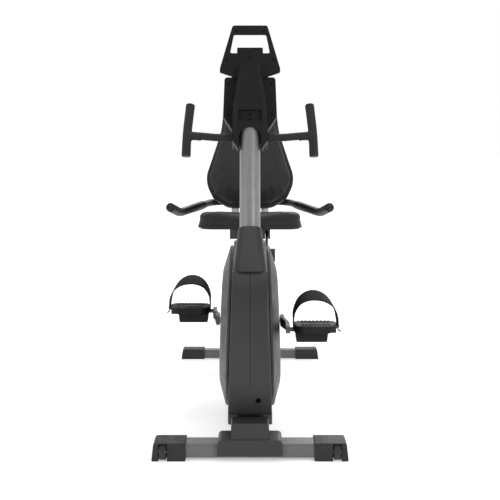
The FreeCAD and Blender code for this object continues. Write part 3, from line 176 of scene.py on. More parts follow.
class Look:
    """One procedural material. Constants go on the shader's own sockets, the rest is linked."""

    def __init__(self, name, **sockets):
        self.material = bpy.data.materials.new(name)
        self.material.use_nodes = True
        self.nodes = self.material.node_tree.nodes
        self.links = self.material.node_tree.links
        self.shader = self.nodes["Principled BSDF"]
        for socket, value in sockets.items():
            self.shader.inputs[socket.replace("_", " ")].default_value = value
        self.place = None

    def add(self, kind, wires=(), values=(), **settings):
        made = self.nodes.new("ShaderNode" + kind)
        for setting, value in settings.items():
            setattr(made, setting, value)
        for socket, value in values:
            made.inputs[socket].default_value = value
        for socket, source in wires:
            self.links.new(source, made.inputs[socket])
        return made

    def spot(self, stretch=(1, 1, 1)):
        """Where the point is on the part, in metres, stretched along an axis if asked."""
        if self.place is None:
            self.place = self.add("TexCoord").outputs["Object"]
        if stretch == (1, 1, 1):
            return self.place
        return self.add("Mapping", [("Vector", self.place)], [("Scale", stretch)]).outputs[0]

    def noise(self, size, detail=2.0, rough=0.5, warp=0.0, stretch=(1, 1, 1)):
        """Noise whose lumps are about size metres across."""
        values = [("Scale", 1 / size), ("Detail", detail),
                  ("Roughness", rough), ("Distortion", warp)]
        return self.add("TexNoise", [("Vector", self.spot(stretch))], values).outputs["Fac"]

    def cells(self, size, feature="DISTANCE_TO_EDGE", warp=0.0):
        """Cells about size metres across: 0 at their edges, or at their centres with F1."""
        place = self.spot()
        if warp:
            shift = self.add("TexNoise", [("Vector", place)],
                             [("Scale", 0.5 / size), ("Detail", 1)])
            place = self.add("VectorMath", [(0, shift.outputs["Color"]), (2, place)],
                             [(1, (warp * size,) * 3)], operation="MULTIPLY_ADD").outputs[0]
        return self.add("TexVoronoi", [("Vector", place)], [("Scale", 1 / size)],
                        feature=feature).outputs["Distance"]

    def ramp(self, value, low, high, start=0.0, end=1.0):
        """Go smoothly from low to high while the value goes from start to end."""
        ends = [("From Min", start), ("From Max", end), ("To Min", low), ("To Max", high)]
        return self.add("MapRange", [("Value", value)], ends,
                        interpolation_type="SMOOTHSTEP").outputs[0]

    def plus(self, a, b):
        return self.add("Math", [(0, a), (1, b)], operation="ADD").outputs[0]

    def blend(self, factor, one, other):
        """Mix two colours by a factor. Each is a plain colour or the output of another node."""
        made = self.add("Mix", [("Factor", factor)], data_type="RGBA")
        for socket, colour in (("A", one), ("B", other)):
            if isinstance(colour, tuple):
                made.inputs[socket].default_value = (*colour, 1)
            else:
                self.links.new(colour, made.inputs[socket])
        return made.outputs["Result"]

    def bump(self, height, depth, strength=1.0, under=None):
        wires = [("Height", height)] + ([("Normal", under)] if under else [])
        return self.add("Bump", wires, [("Strength", strength), ("Distance", depth)]).outputs[0]

    def give(self, socket, source):
        self.links.new(source, self.shader.inputs[socket])


def grey(value, tint=0.0):
    """A grey with a touch of blue."""
    return (value, value, value * (1 + tint))


def patchy(look, middle, spread, size, detail=3.0):
    """Broad patches, and a colour that is a little lighter and darker over them."""
    patches = look.ramp(look.noise(size, detail), 0.0, 1.0, 0.3, 0.7)
    dark, light = (tuple(c * k for c in middle) for k in (1 - spread, 1 + spread))
    return patches, look.blend(patches, dark, light)


def tones(look, middle, spread, size, detail=3.0):
    """Give a look a patchy colour."""
    patches, tone = patchy(look, middle, spread, size, detail)
    look.give("Base Color", tone)
    return patches


def paint(name, colour, rough, peel=0.0045, peel_depth=0.00006, flake=0.0, metallic=0.0,
          level=0.5, coat=0.12):
    """Sprayed paint: orange peel, uneven gloss and, in metallic paint, fine bright flakes."""
    look = Look(name, Metallic=metallic, Specular_IOR_Level=level, Coat_Weight=coat,
                Coat_Roughness=0.25)
    patches, tone = patchy(look, colour, 0.06, 0.14)
    if flake:
        grains = look.add("TexVoronoi", [("Vector", look.spot())], [("Scale", 1 / 0.0006)])
        bright = look.ramp(grains.outputs["Color"], 0.0, flake, 0.55, 1.0)
        tone = look.blend(bright, tone, (0.8, 0.8, 0.82))
    look.give("Base Color", tone)
    look.give("Roughness", look.plus(look.ramp(look.noise(0.02, 4), -0.05, 0.05),
                                     look.ramp(patches, rough, rough + 0.04)))
    look.give("Normal", look.bump(look.noise(peel, 2, 0.6), peel_depth))
    return look.material


def moulded(name, colour, rough, grain=0.0012, depth=0.00007, level=0.35):
    """Moulded plastic: spark-eroded grain, slight flow marks and handling shine."""
    look = Look(name, Specular_IOR_Level=level)
    patches = tones(look, colour, 0.07, 0.09)
    smear = look.ramp(look.noise(0.035, 5, 0.65, 0.4), -0.07, 0.07, 0.25, 0.75)
    shine = look.ramp(patches, rough - 0.03, rough + 0.03)
    look.give("Roughness", look.plus(smear, shine))
    flow = look.bump(look.noise(0.05, 2), 0.0004, 0.35)
    pits = look.plus(look.cells(grain, "F1", 0.6), look.noise(grain * 0.45, 2, 0.7))
    look.give("Normal", look.bump(pits, depth, 0.9, flow))
    return look.material


def vinyl():
    """Soft black vinyl: pebbled leather grain, creases between pebbles painted darker as shade, and
    a dull bloom.
    """
    look = Look("vinyl", Specular_IOR_Level=0.3, Sheen_Weight=0.06, Sheen_Roughness=0.5)
    pebbles = look.cells(0.0021, warp=0.9)
    hills = look.ramp(pebbles, 0.0, 1.0, 0.0, 0.28)
    fine = look.noise(0.0006, 3, 0.6)
    broad = look.noise(0.07, 3)
    # Painted shade: the creases between the pebbles are coloured darker than the pebbles' tops.
    crease_shade = look.blend(broad, (0.004, 0.004, 0.0043), (0.006, 0.006, 0.0064))
    tops = look.blend(broad, (0.009, 0.009, 0.0093), (0.013, 0.013, 0.0134))
    look.give("Base Color", look.blend(hills, crease_shade, tops))
    look.give("Roughness", look.plus(look.ramp(hills, 0.66, 0.5),
                                     look.ramp(broad, -0.05, 0.05)))
    pull = look.bump(look.noise(0.016, 3, 0.6, 0.6), 0.0006, 0.35)
    grain = look.bump(hills, 0.00022, 0.8, pull)
    look.give("Normal", look.bump(fine, 0.00005, 0.6, grain))
    return look.material


def rubber(name, colour, rough, grain, depth, sheen=0.0):
    """Dull rubber or foam: open pores and a dusty bloom."""
    look = Look(name, Specular_IOR_Level=0.25, Sheen_Weight=sheen, Sheen_Roughness=0.6)
    patches = tones(look, colour, 0.12, 0.05)
    pores = look.ramp(look.cells(grain, "F1"), 0.0, 1.0, 0.15, 0.75)
    look.give("Roughness", look.plus(look.ramp(patches, rough - 0.04, rough + 0.04),
                                     look.ramp(pores, 0.06, -0.02)))
    skin = look.bump(look.noise(0.006, 3), 0.0003, 0.4)
    look.give("Normal", look.bump(pores, depth, 0.8, skin))
    return look.material


def metal(name, colour, rough, along=(1, 1, 1), depth=0.00002):
    """Bare or plated metal: fine machining lines, stains and uneven polish."""
    look = Look(name, Metallic=1.0)
    stains = tones(look, colour, 0.14, 0.03, 5)
    lines = look.noise(0.0004, 3, 0.6, stretch=along)
    look.give("Roughness", look.plus(look.ramp(stains, rough - 0.05, rough + 0.08),
                                     look.ramp(lines, -0.06, 0.06, 0.3, 0.7)))
    look.give("Normal", look.bump(lines, depth, 0.7))
    return look.material


def belt():
    """A ribbed drive belt: fine ribs round the belt, and a dusty face."""
    look = Look("belt", Roughness=0.75, Specular_IOR_Level=0.25)
    tones(look, (0.018, 0.018, 0.018), 0.2, 0.02)
    ribs = look.add("TexWave", [("Vector", look.spot())], [("Scale", 140)], bands_direction="X")
    look.give("Normal", look.bump(ribs.outputs["Fac"], 0.0008, 0.8))
    return look.material


def circuit():
    """A circuit board: green mask over paler copper tracks."""
    look = Look("circuit", Roughness=0.35, Specular_IOR_Level=0.5)
    tracks = look.ramp(look.cells(0.007), 1.0, 0.0, 0.02, 0.06)
    look.give("Base Color", look.blend(tracks, (0.004, 0.05, 0.018), (0.02, 0.17, 0.06)))
    look.give("Normal", look.bump(tracks, 0.00003))
    return look.material


def lens():
    """Smoked clear plastic with a few hairline scratches."""
    look = Look("smoked_lens", Base_Color=(0.6, 0.62, 0.63, 1), Transmission_Weight=0.92, IOR=1.49)
    hairs = look.ramp(look.noise(0.003, 2, 0.5, 2.0, stretch=(1, 0.05, 1)), 0.05, 0.16, 0.45, 0.8)
    look.give("Roughness", hairs)
    return look.material


def display():
    """A grey-green liquid-crystal panel, faintly mottled."""
    look = Look("display_panel", Roughness=0.3, Specular_IOR_Level=0.5)
    tone = look.blend(look.noise(0.03, 3), (0.30, 0.34, 0.29), (0.36, 0.40, 0.34))
    look.give("Base Color", tone)
    return look.material


def all_looks():
    """One material for each slot of the record."""
    return {
        "frame_paint": paint("frame_paint", grey(0.085, 0.03), 0.45),
        "mast_paint": paint("mast_paint", grey(0.19, 0.02), 0.34, flake=0.3, metallic=0.5),
        "seat_frame_paint": paint("seat_frame_paint", grey(0.42, 0.02), 0.4),
        "tube_black": paint("tube_black", grey(0.004), 0.42, peel_depth=0.00003, level=0.2,
                            coat=0.0),
        "bar_paint": paint("bar_paint", grey(0.007), 0.52, level=0.3, coat=0.0),
        "carriage_paint": paint("carriage_paint", grey(0.014), 0.5, peel=0.0025, peel_depth=0.0001),
        "crank_paint": paint("crank_paint", grey(0.07, 0.03), 0.42),
        "rail_metal": metal("rail_metal", grey(0.42), 0.34, (1, 0.04, 1)),
        "casing_plastic": moulded("casing_plastic", grey(0.023, 0.03), 0.46),
        "head_plastic": moulded("head_plastic", grey(0.0045, 0.03), 0.55, level=0.17),
        "foot_plastic": moulded("foot_plastic", grey(0.012, 0.03), 0.55),
        "pedal_plastic": moulded("pedal_plastic", grey(0.007, 0.03), 0.55, depth=0.0001,
                                 level=0.25),
        "shell_plastic": moulded("shell_plastic", grey(0.012), 0.55, grain=0.0018, depth=0.00014),
        "strap_rubber": rubber("strap_rubber", grey(0.009), 0.62, 0.0012, 0.00006),
        "grip_rubber": rubber("grip_rubber", grey(0.011), 0.72, 0.0011, 0.00014, 0.04),
        "plug_plastic": moulded("plug_plastic", grey(0.01), 0.35, depth=0.00003),
        "wheel_plastic": moulded("wheel_plastic", grey(0.018), 0.5),
        "vinyl": vinyl(),
        "screw_black": moulded("screw_black", grey(0.0012), 0.75, level=0.08),
        "bare_steel": metal("bare_steel", grey(0.52), 0.3),
        "iron": metal("cast_iron", grey(0.18), 0.5, depth=0.0001),
        "brake_steel": metal("brake_steel", grey(0.38), 0.42),
        "pulley_nylon": moulded("pulley_nylon", grey(0.02), 0.5),
        "belt_rubber": belt(),
        "lens": lens(),
        "board_green": circuit(),
        "key_rubber": rubber("key_rubber", grey(0.2), 0.55, 0.0008, 0.00003),
    }


def dress(looks):
    """Every CAD node takes its own slot's material, but the inlet is black and spindles dark."""
    for node in NODES.values():
        for place in node.material_slots:
            place.material = looks[place.material.name.split(".")[0]]
    for name, look in (("power_jack", looks["screw_black"]),
                       ("pedal_spindles", metal("dark_steel", grey(0.09), 0.42))):
        for place in NODES[name].material_slots:
            place.material = look


# --- mesh helpers ---------------------------------------------------------------------------------

def piece_from(name, verts, faces):
    mesh = bpy.data.meshes.new(name)
    mesh.from_pydata([tuple(v) for v in verts], [], [tuple(f) for f in faces])
    mesh.validate()
    mesh.shade_smooth()
    piece = bpy.data.objects.new(name, mesh)
    bpy.context.collection.objects.link(piece)
    return piece


def bake(piece):
    """Apply a piece's modifiers to its mesh."""
    graph = bpy.context.evaluated_depsgraph_get()
    mesh = bpy.data.meshes.new_from_object(piece.evaluated_get(graph))
    mesh.shade_smooth()
    piece.modifiers.clear()
    piece.data = mesh


def vertex_data(piece, kind):
    flat = np.empty(len(piece.data.vertices) * 3)
    piece.data.vertices.foreach_get(kind, flat)
    return flat.reshape(-1, 3)


def points_of(piece):
    return vertex_data(piece, "co")


def normals_of(piece):
    return vertex_data(piece, "normal")


def put_points(piece, points):
    piece.data.vertices.foreach_set("co", points.ravel())
    piece.data.update()


def remesh(piece, size):
    change = piece.modifiers.new("remesh", "REMESH")
    change.mode = "VOXEL"
    change.voxel_size = size
    bake(piece)


def subdivide(piece):
    change = piece.modifiers.new("subdivision", "SUBSURF")
    change.levels = change.render_levels = 1
    bake(piece)


def calm(piece, factor, rounds, group=""):
    """Smooth a piece, or only a group of its vertices, when it is next baked."""
    change = piece.modifiers.new("calm", "SMOOTH")
    change.factor = factor
    change.iterations = rounds
    change.vertex_group = group


def settle_in(piece, body, slot, *replaced, look=None):
    """Give a piece its material, which is its slot's unless a look is given, hide the nodes that it
    stands for and hang it on its body.
    """
    piece.data.materials.clear()
    piece.data.materials.append(look or LOOKS[slot])
    if replaced:
        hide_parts(*replaced)
    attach(piece, body)


def smooth_step(value, low, high):
    t = np.clip((value - low) / (high - low), 0, 1)
    return t * t * (3 - 2 * t)


def leaned(angle):
    """The backward and upward directions of something that leans back by an angle."""
    back = np.array((0, math.cos(angle), -math.sin(angle)))
    return back, np.array((0, math.sin(angle), math.cos(angle)))


def run_along(line):
    """The distance along a line from its start to each of its points."""
    return np.concatenate([[0], np.cumsum(np.linalg.norm(np.diff(line, axis=0), axis=1))])


def tube(path, radii, sides=20, up=None):
    """Corners and faces of a tube along a path, which is a closed loop round up if up is given."""
    path = np.asarray(path, float)
    radii = np.broadcast_to(np.asarray(radii, float), len(path))
    closed = up is not None
    if closed:
        ahead = np.roll(path, -1, 0) - np.roll(path, 1, 0)
    else:
        ahead = np.gradient(path, axis=0)
    ahead /= np.linalg.norm(ahead, axis=1, keepdims=True)
    side = np.cross(ahead[0], (0, 0, 1) if up is None else up)
    verts = []
    for here, along, radius in zip(path, ahead, radii):
        side = np.cross(along, up) if closed else side - along * side.dot(along)
        side = side / np.linalg.norm(side)
        other = np.cross(along, side)
        turns = np.arange(sides) * 2 * np.pi / sides
        verts += [here + radius * (np.cos(a) * side + np.sin(a) * other) for a in turns]
    faces = []
    for i in range(len(path) if closed else len(path) - 1):
        j = (i + 1) % len(path)
        for k in range(sides):
            m = (k + 1) % sides
            faces.append((i * sides + k, i * sides + m, j * sides + m, j * sides + k))
    if not closed:
        faces += [tuple(range(sides))[::-1], tuple(range(len(verts) - sides, len(verts)))]
    return verts, faces


def several(parts):
    """Join lists of corners and faces into one."""
    verts, faces = [], []
    for more, sides in parts:
        faces += [tuple(i + len(verts) for i in face) for face in sides]
        verts += list(more)
    return verts, faces


def girdle(piece, point, normal, step):
    """The loop where a plane cuts a closed piece, as evenly spaced points in order."""
    draft = bmesh.new()
    draft.from_mesh(piece.data)
    everything = draft.verts[:] + draft.edges[:] + draft.faces[:]
    cut = bmesh.ops.bisect_plane(draft, geom=everything, plane_co=point, plane_no=normal)
    loop = np.array([g.co[:] for g in cut["geom_cut"] if isinstance(g, bmesh.types.BMVert)])
    draft.free()
    middle = (loop.min(0) + loop.max(0)) / 2
    out = loop - middle
    up = np.cross(normal, (1, 0, 0))
    loop = loop[np.argsort(np.arctan2(out @ up, out[:, 0]))]
    for _ in range(3):
        loop = (np.roll(loop, 1, 0) + loop + np.roll(loop, -1, 0)) / 3
    ends = np.vstack([loop, loop[:1]])
    run = run_along(ends)
    spots = np.linspace(0, run[-1], int(run[-1] / step) + 1)[:-1]
    return np.column_stack([np.interp(spots, run, ends[:, k]) for k in range(3)])


def smooth_path(points, count):
    """Points along a smooth curve through a few given ones."""
    points = np.asarray(points, float)
    before = np.vstack([2 * points[0] - points[1], points, 2 * points[-1] - points[-2]])
    out = []
    for t in np.linspace(0, len(points) - 1, count):
        i = min(int(t), len(points) - 2)
        u = t - i
        a, b, c, d = before[i:i + 4]
        out.append(0.5 * (2 * b + (c - a) * u + (2 * a - 5 * b + 4 * c - d) * u ** 2
                          + (3 * b - a - 3 * c + d) * u ** 3))
    return np.array(out)


# --- cushions -------------------------------------------------------------------------------------

def inflate(piece, cap, held):
    """Swell a piece's skin with air pressure, holding some points and capping every move."""
    scene = bpy.context.scene
    start = points_of(piece)
    group = piece.vertex_groups.new(name="held")
    group.add([int(i) for i in np.nonzero(held)[0]], 1.0, "REPLACE")
    cloth = piece.modifiers.new("cloth", "CLOTH")
    cloth.settings.use_pressure = True
    cloth.settings.uniform_pressure_force = 4.0
    cloth.settings.vertex_group_mass = "held"
    cloth.settings.effector_weights.gravity = 0
    for moment in range(1, CLOTH_FRAMES + 1):
        scene.frame_set(moment)
    bake(piece)
    scene.frame_set(1)
    moved = points_of(piece) - start
    far = np.linalg.norm(moved, axis=1, keepdims=True)
    put_points(piece, start + moved * np.minimum(1, cap / np.maximum(far, 1e-9)))
    piece.vertex_groups.clear()
    calm(piece, 0.5, 10)
    bake(piece)


def copy_of(node, name):
    piece = bpy.data.objects.new(name, NODES[node].data.copy())
    bpy.context.collection.objects.link(piece)
    return piece


def sew(piece, height_of, height, along, pucker):
    """Sink a seam into a cushion at one height, with small puckers beside it, pucker apart."""
    width, depth, tuck_depth = 0.0035, 0.0016, 0.00035
    points, normals = points_of(piece), normals_of(piece)
    near = height_of(points) - height
    seam = np.exp(-(near / width) ** 2) * depth
    waves = np.sin(along(points) / pucker * 2 * np.pi)
    tucks = np.exp(-(near / (width * 4)) ** 2) * waves * tuck_depth
    put_points(piece, points - normals * (seam + tucks)[:, None])


def trim(name, piece, point, normal, radius, stitch_shift):
    """Piping round a cushion, and a row of stitches beside it."""
    normal = np.asarray(normal, float)
    loop = girdle(piece, point, normal, PIPING_STEP)
    middle = loop.mean(0)
    out = loop - middle
    out /= np.linalg.norm(out, axis=1, keepdims=True)
    cord = piece_from(name + "_piping", *tube(loop + out * radius * 0.35, radius, 12, normal))
    settle_in(cord, "seat", "vinyl")
    seam = girdle(piece, np.asarray(point) + normal * stitch_shift, normal, STITCH_STEP)
    runs = []
    for near, far in zip(seam, np.roll(seam, -1, 0)):
        lie = near - middle
        lift = lie / np.linalg.norm(lie) * STITCH_LIFT
        line = [near + (far - near) * t + lift * k for t, k, _ in STITCH]
        runs.append(tube(line, [thickness for *_, thickness in STITCH], 6))
    thread = piece_from(name + "_stitches", *several(runs))
    settle_in(thread, "seat", "strap_rubber")


def seat_cushion():
    """A wedge of foam under vinyl: low in its middle, leaning in, with a welt round its foot."""
    low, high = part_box("seat_cushion")
    half, deep, tall = high.x, high.y - low.y, high.z - low.z
    piece = copy_of("seat_cushion", "seat_cushion_soft")
    remesh(piece, FOAM_GRID)
    p = points_of(piece)
    # Sink the top: most in the middle and toward the front, with a shallow hollow to sit in.
    rise = np.clip((p[:, 2] - low.z) / tall, 0, 1)
    across = p[:, 0] / half
    along = (p[:, 1] - low.y) / deep
    hump = 0.5 - 0.5 * np.cos(np.clip(np.abs(across) / 0.8, 0, 1) * np.pi)
    dip = 0.015 * (1 - hump) * (1 - 0.25 * along)
    hollow = 0.004 * np.exp(-((along - 0.7) / 0.25) ** 2) * (1 - across ** 2)
    p[:, 2] -= rise ** 2 * (dip + hollow + 0.003)
    # Draw the sides and the front in toward the top, and fill out the rounded upper edge.
    waist = 0.012 * np.sin(np.pi * np.clip(along, 0, 1))
    p[:, 0] *= 1 - 0.036 * rise - waist * (1 - rise * 0.4)
    p[:, 1] += (0.007 * rise - 0.004 * (1 - across ** 2)) * (1 - along) * 0.8
    n = normals_of(piece)
    flat = np.hypot(n[:, 0], n[:, 1])
    p += n * (0.016 * flat * np.clip(n[:, 2], 0, 1))[:, None]
    put_points(piece, p)
    inflate(piece, 0.0045, p[:, 2] < low.z + 0.007)
    subdivide(piece)
    sew(piece, lambda q: q[:, 2] - low.z, 0.0085, lambda q: q[:, 0] + q[:, 1], 0.019)
    trim("seat_cushion", piece, (0, 0, low.z + 0.0035), (0, 0, 1), 0.0038, 0.0085)
    settle_in(piece, "seat", "vinyl", "seat_cushion")


def back_cushion():
    """A crowned pear of foam under vinyl, thin at its rim, with a welt where it meets the shell."""
    back, rise = leaned(BACK_LEAN)
    piece = copy_of("back_cushion", "back_cushion_soft")
    remesh(piece, FOAM_GRID)
    p = points_of(piece)
    w, v = p @ back, p @ rise
    front, rear, foot, head = w.min(), w.max(), v.min(), v.max()
    # Half the width at each point's height, and how far each point is in from the outline.
    levels = np.linspace(foot, head, 60)
    wide = np.array([np.abs(p[np.abs(v - level) < 0.006, 0]).max() for level in levels])
    here = np.interp(v, levels, wide)
    inward = np.minimum(here - np.abs(p[:, 0]), np.minimum(v - foot, head - v))
    rim = 1 - smooth_step(inward, 0.0, 0.055)
    near = 1 - (w - front) / (rear - front)
    bow = 0.006 * (1 - (p[:, 0] / here) ** 2) * np.sin(np.pi * (v - foot) / (head - foot))
    lumbar = 0.006 * np.exp(-(((v - foot) / (head - foot) - 0.3) / 0.16) ** 2)
    shift = near * (0.016 * rim - bow - lumbar * (1 - rim) + 0.003)
    shrink = 1 - 0.03 * near ** 2
    p = p + back * shift[:, None]
    p[:, 0] *= shrink
    put_points(piece, p)
    inflate(piece, 0.007, w > rear - 0.007)
    subdivide(piece)
    sew(piece, lambda q: q @ back, rear - 0.0125, lambda q: q[:, 0] + q @ rise, 0.021)
    trim("back_cushion", piece, back * (rear - 0.0045), -back, 0.0036, 0.0085)
    settle_in(piece, "seat", "vinyl", "back_cushion")


# --- straps and grips -----------------------------------------------------------------------------

def pedal_strap(side_name):
    """A moulded strap: narrow at its feet, broad and tipped over the shoe, pointed at its end."""
    node = "pedal_strap_" + side_name
    side = 1 if side_name == "left" else -1
    low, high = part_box(node)
    middle = np.array(((low.x + high.x) / 2, (low.y + high.y) / 2, 0))
    axle = joint_height("pedal_" + side_name)
    line = smooth_path(STRAP_LINE, STRAP_ROWS) * MM
    rows = []
    for i, (x, z) in enumerate(line):
        t = i / (STRAP_ROWS - 1)
        belly = math.sin(math.pi * min(t / STRAP_TIP, 1)) ** 1.6
        half = (8.5 + 18.5 * belly) * MM
        if t > STRAP_TIP:
            half *= 1 - 0.75 * (t - STRAP_TIP) / 0.08
        lean = STRAP_LEAN * belly
        row = []
        for j in range(STRAP_COLUMNS):
            u = 2 * j / (STRAP_COLUMNS - 1) - 1
            edge = 0.0012 * u ** 4
            row.append((side * (x - 0.006 * u * belly), u * half * math.cos(lean),
                        z + u * half * math.sin(lean) - edge))
        rows.append(row)
    verts = [middle + (0, 0, axle) + np.array(v) for row in rows for v in row]
    faces = []
    for i in range(STRAP_ROWS - 1):
        for j in range(STRAP_COLUMNS - 1):
            near, far = i * STRAP_COLUMNS + j, (i + 1) * STRAP_COLUMNS + j
            faces.append((near, near + 1, far + 1, far))
    piece = piece_from(node + "_moulded", verts, faces)
    thick = piece.modifiers.new("thickness", "SOLIDIFY")
    thick.thickness = 0.003
    thick.offset = 0
    rounding = piece.modifiers.new("rounding", "BEVEL")
    rounding.width = 0.0009
    rounding.segments = 2
    rounding.limit_method = "ANGLE"
    holes = []
    for height in STRAP_HOLES:
        at = middle + (side * 0.055, 0, axle + height * MM)
        holes.append(tube([at, at + (side * 0.03, 0, 0)], 0.0024, 16))
    cutter = piece_from(node + "_cutter", *several(holes))
    cut = piece.modifiers.new("holes", "BOOLEAN")
    cut.object = cutter
    cut.solver = "EXACT"
    bake(piece)
    bpy.data.objects.remove(cutter)
    settle_in(piece, "pedal_" + side_name, "strap_rubber", node)
    at = middle + (side * 0.0685, 0, axle + 0.011)
    stud = [at + (side * k * MM, 0, 0) for k in (-2, 2.2, 3.0, 4.6, 5.2)]
    peg = piece_from(node + "_peg", *tube(stud, [0.003, 0.003, 0.0052, 0.0052, 0.0035], 20))
    settle_in(peg, "pedal_" + side_name, "plug_plastic")


def bent_line(corners, reach, count):
    """A line through three corners, rounded within reach of the middle one."""
    start, bend, end = corners
    before = bend + (start - bend) / np.linalg.norm(start - bend) * reach
    after = bend + (end - bend) / np.linalg.norm(end - bend) * reach
    line = [start + (before - start) * t for t in np.linspace(0, 1, count)[:-1]]
    line += [(1 - t) ** 2 * before + 2 * t * (1 - t) * bend + t * t * after
             for t in np.linspace(0, 1, count)]
    line += [after + (end - after) * t for t in np.linspace(0, 1, count)[1:]]
    return np.array(line)


def joint_height(body):
    """Height of the joint that a body turns on."""
    return next(joint["pos_m"][2] for joint in frame["joints"] if joint["child"] == body)


def placed(corners, side):
    """Corners of a sleeve's centre line, put on one side of the bike."""
    return [np.array((side * x, front_axis() + s, z)) for x, s, z in corners]


def handlebar_grips():
    """Soft sleeves over the T ends of the bar, with the fillets that a moulded grip has."""
    p = points_of(NODES["handlebar_grips"])
    parts = []
    for side in (1, -1):
        mine = p[p[:, 0] * side > 0]
        arm = mine[mine[:, 0] * side < 0.172]
        neck = (arm.min(0) + arm.max(0)) / 2
        line = bent_line(placed(BAR_GRIP_LINE, side), 0.045, 20)
        run = run_along(line)
        radius = 0.0145 + 0.0008 * np.exp(-np.minimum(run, run[-1] - run) / 0.007)
        parts.append(tube(line, radius, 32))
        start = np.array((side * 0.153, neck[1], neck[2] - 0.0012))
        end = np.array((side * 0.2, neck[1], neck[2] + 0.0022))
        arm_line = [start + (end - start) * t for t in np.linspace(0, 1, 14)]
        parts.append(tube(arm_line, 0.0134, 32))
    piece = piece_from("handlebar_grip_sleeves", *several(parts))
    remesh(piece, 0.0021)
    q = points_of(piece)
    group = piece.vertex_groups.new(name="joint")
    away = np.hypot(np.abs(q[:, 0]) - 0.187, q[:, 2] - neck[2])
    for i in np.nonzero(away < 0.032)[0]:
        group.add([int(i)], float(1 - smooth_step(away[i], 0.018, 0.032)), "REPLACE")
    calm(piece, 0.6, 26, "joint")
    calm(piece, 0.5, 4)
    bake(piece)
    piece.vertex_groups.clear()
    settle_in(piece, "frame", "grip_rubber", "handlebar_grips")


def seat_grips():
    """Long sleeves over the seat's side handles, from the end caps to behind the seat."""
    parts, discs = [], []
    for side in (1, -1):
        start, bend, end = placed(SEAT_GRIP_LINE, side)
        line = bent_line((start, bend, end), 0.04, 26)
        run = run_along(line)
        swell = 0.0005 * np.sin(run / run[-1] * np.pi * 3)
        radius = 0.0165 + 0.0012 * np.exp(-run / 0.006) + swell
        radius = radius - 0.0022 * smooth_step(run, run[-1] - 0.012, run[-1])
        radius[0] -= 0.0022
        parts.append(tube(line, radius, 36))
        out = (start - bend) / np.linalg.norm(start - bend)
        path = [start + out * along * MM for along, _ in END_CAP_RINGS]
        discs.append(tube(path, [r * MM for _, r in END_CAP_RINGS], 36))
    piece = piece_from("seat_grip_sleeves", *several(parts))
    settle_in(piece, "seat", "grip_rubber", "seat_grips", look=LOOKS["tube_black"])
    cap = piece_from("seat_grip_end_caps", *several(discs))
    settle_in(cap, "seat", "plug_plastic")


# --- fine details ---------------------------------------------------------------------------------

def figure(x, v, wide, tall, thick):
    """The six bars of a seven-segment nought, as rectangles (x, v, half width, half height)."""
    bars = [(x, v + k * tall / 2, wide / 2 - thick, thick / 2) for k in (1, -1)]
    return bars + [(x + i * wide / 2, v + k * tall / 4, thick / 2, tall / 4 - thick * 0.6)
                   for i in (1, -1) for k in (1, -1)]


def display_panel():
    """The liquid-crystal panel under the lens, with plain figures and a row of level bars."""
    out, up = leaned(CONSOLE_LEAN)
    cover = points_of(NODES["display_lens"])
    face = (cover @ out).min() - 0.0009
    middle = ((cover @ up).min() + (cover @ up).max()) / 2

    def plates(bars, low, thick):
        verts, faces = [], []
        for x, v, half, tall in bars:
            n = len(verts)
            for w in (low, low + thick):
                verts += [np.array((x + i * half, 0, 0)) + up * (middle + v + k * tall) + out * w
                          for i, k in ((-1, -1), (1, -1), (1, 1), (-1, 1))]
            faces += [(n + 4, n + 5, n + 6, n + 7), (n + 3, n + 2, n + 1, n)]
            faces += [(n + i, n + (i + 1) % 4, n + 4 + (i + 1) % 4, n + 4 + i)
                      for i in range(4)]
        return verts, faces

    panel = piece_from("display_panel", *plates([(0, 0, 0.054, 0.038)], face - 0.0006, 0.0006))
    panel.data.shade_flat()
    settle_in(panel, "frame", "lens", look=display())
    bars = []
    for x in (-0.036, -0.019, 0.019, 0.036):
        bars += figure(x, 0.02, 0.011, 0.022, 0.0024)
    bars += [(0, 0.02 + k, 0.0012, 0.0012) for k in (0.005, -0.005)]
    for x in (-0.042, -0.032, -0.022, 0.022, 0.032, 0.042):
        bars += figure(x, -0.008, 0.0062, 0.012, 0.0014)
    bars += [(-0.044 + 0.008 * i, -0.032 + 0.0006 * i, 0.0026, 0.0015 + 0.0006 * i)
             for i in range(12)]
    bars += [(0, 0.0035, 0.05, 0.0003), (0, -0.0185, 0.05, 0.0003)]
    marks = piece_from("display_figures", *plates(bars, face, 0.0002))
    marks.data.shade_flat()
    settle_in(marks, "frame", "plug_plastic")


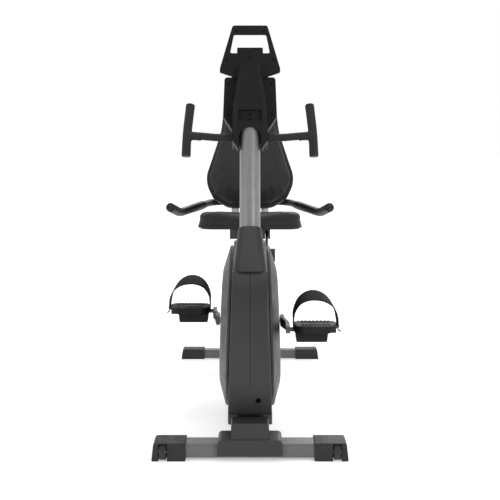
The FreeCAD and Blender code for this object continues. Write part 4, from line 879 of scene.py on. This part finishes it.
def casing_seam_shade():
    """A black cord where the casing's two halves meet down its front: painted shade, standing in
    for the shadow in the gap between them.
    """
    p = points_of(NODES["shroud_left"])
    edge = p[np.abs(p[:, 0]) < 0.0002]
    edge = edge[(edge[:, 2] > SEAM_FOOT) & (edge[:, 2] < SEAM_HEAD)]
    chain = []  # the foremost outline, as a convex chain
    for y, z in sorted({(round(y, 5), round(z, 5)) for _, y, z in edge}, key=lambda q: q[1]):
        while len(chain) > 1:
            (y1, z1), (y2, z2) = chain[-2:]
            if (y2 - y1) * (z - z1) < (y - y1) * (z2 - z1):
                break
            chain.pop()
        chain.append((y, z))
    chain = np.array(chain)
    levels = np.linspace(chain[0, 1] + 0.004, chain[-1, 1] - 0.002, SEAM_POINTS)
    front = np.interp(levels, chain[:, 1], chain[:, 0])
    line = np.column_stack([np.zeros(SEAM_POINTS), front + 0.0004, levels])
    # Painted shade: a near-black cord just proud of the front, in place of the shadow in the
    # parting gap.
    seam = piece_from("casing_seam_shade", *tube(line, 0.0007, 8))
    settle_in(seam, "frame", "casing_plastic", look=LOOKS["screw_black"])


def weld_beads():
    """Rippled fillet welds where the seat's posts stand on the beam."""
    posts = points_of(NODES["rail_posts"])
    beam_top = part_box("lower_beam")[1].z
    foot = posts[posts[:, 2] < beam_top + 0.002]
    runs = []
    gap = (foot[:, 1].min() + foot[:, 1].max()) / 2
    for group in (foot[foot[:, 1] < gap], foot[foot[:, 1] > gap]):
        (x0, y0), (x1, y1) = group[:, :2].min(0), group[:, :2].max(0)
        corners = [(x0, y0), (x1, y0), (x1, y1), (x0, y1)]
        line = []
        for (xa, ya), (xb, yb) in zip(corners, corners[1:] + corners[:1]):
            count = max(4, int(math.hypot(xb - xa, yb - ya) / 0.0011))
            line += [(xa + (xb - xa) * t / count, ya + (yb - ya) * t / count, beam_top)
                     for t in range(count)]
        line = np.array(line)
        ripple = 0.0024 + 0.0004 * np.sin(np.arange(len(line)) * 2.1)
        runs.append(tube(line, ripple, 8, (0, 0, 1)))
    beads = piece_from("post_welds", *several(runs))
    settle_in(beads, "frame", "seat_frame_paint")


# --- the scene ------------------------------------------------------------------------------------

bpy.context.scene.view_settings.view_transform = "Standard"
make_camera()
make_stage()
LOOKS = all_looks()
dress(LOOKS)
seat_cushion()
back_cushion()
for which in ("left", "right"):
    pedal_strap(which)
handlebar_grips()
seat_grips()
display_panel()
casing_seam_shade()
weld_beads()
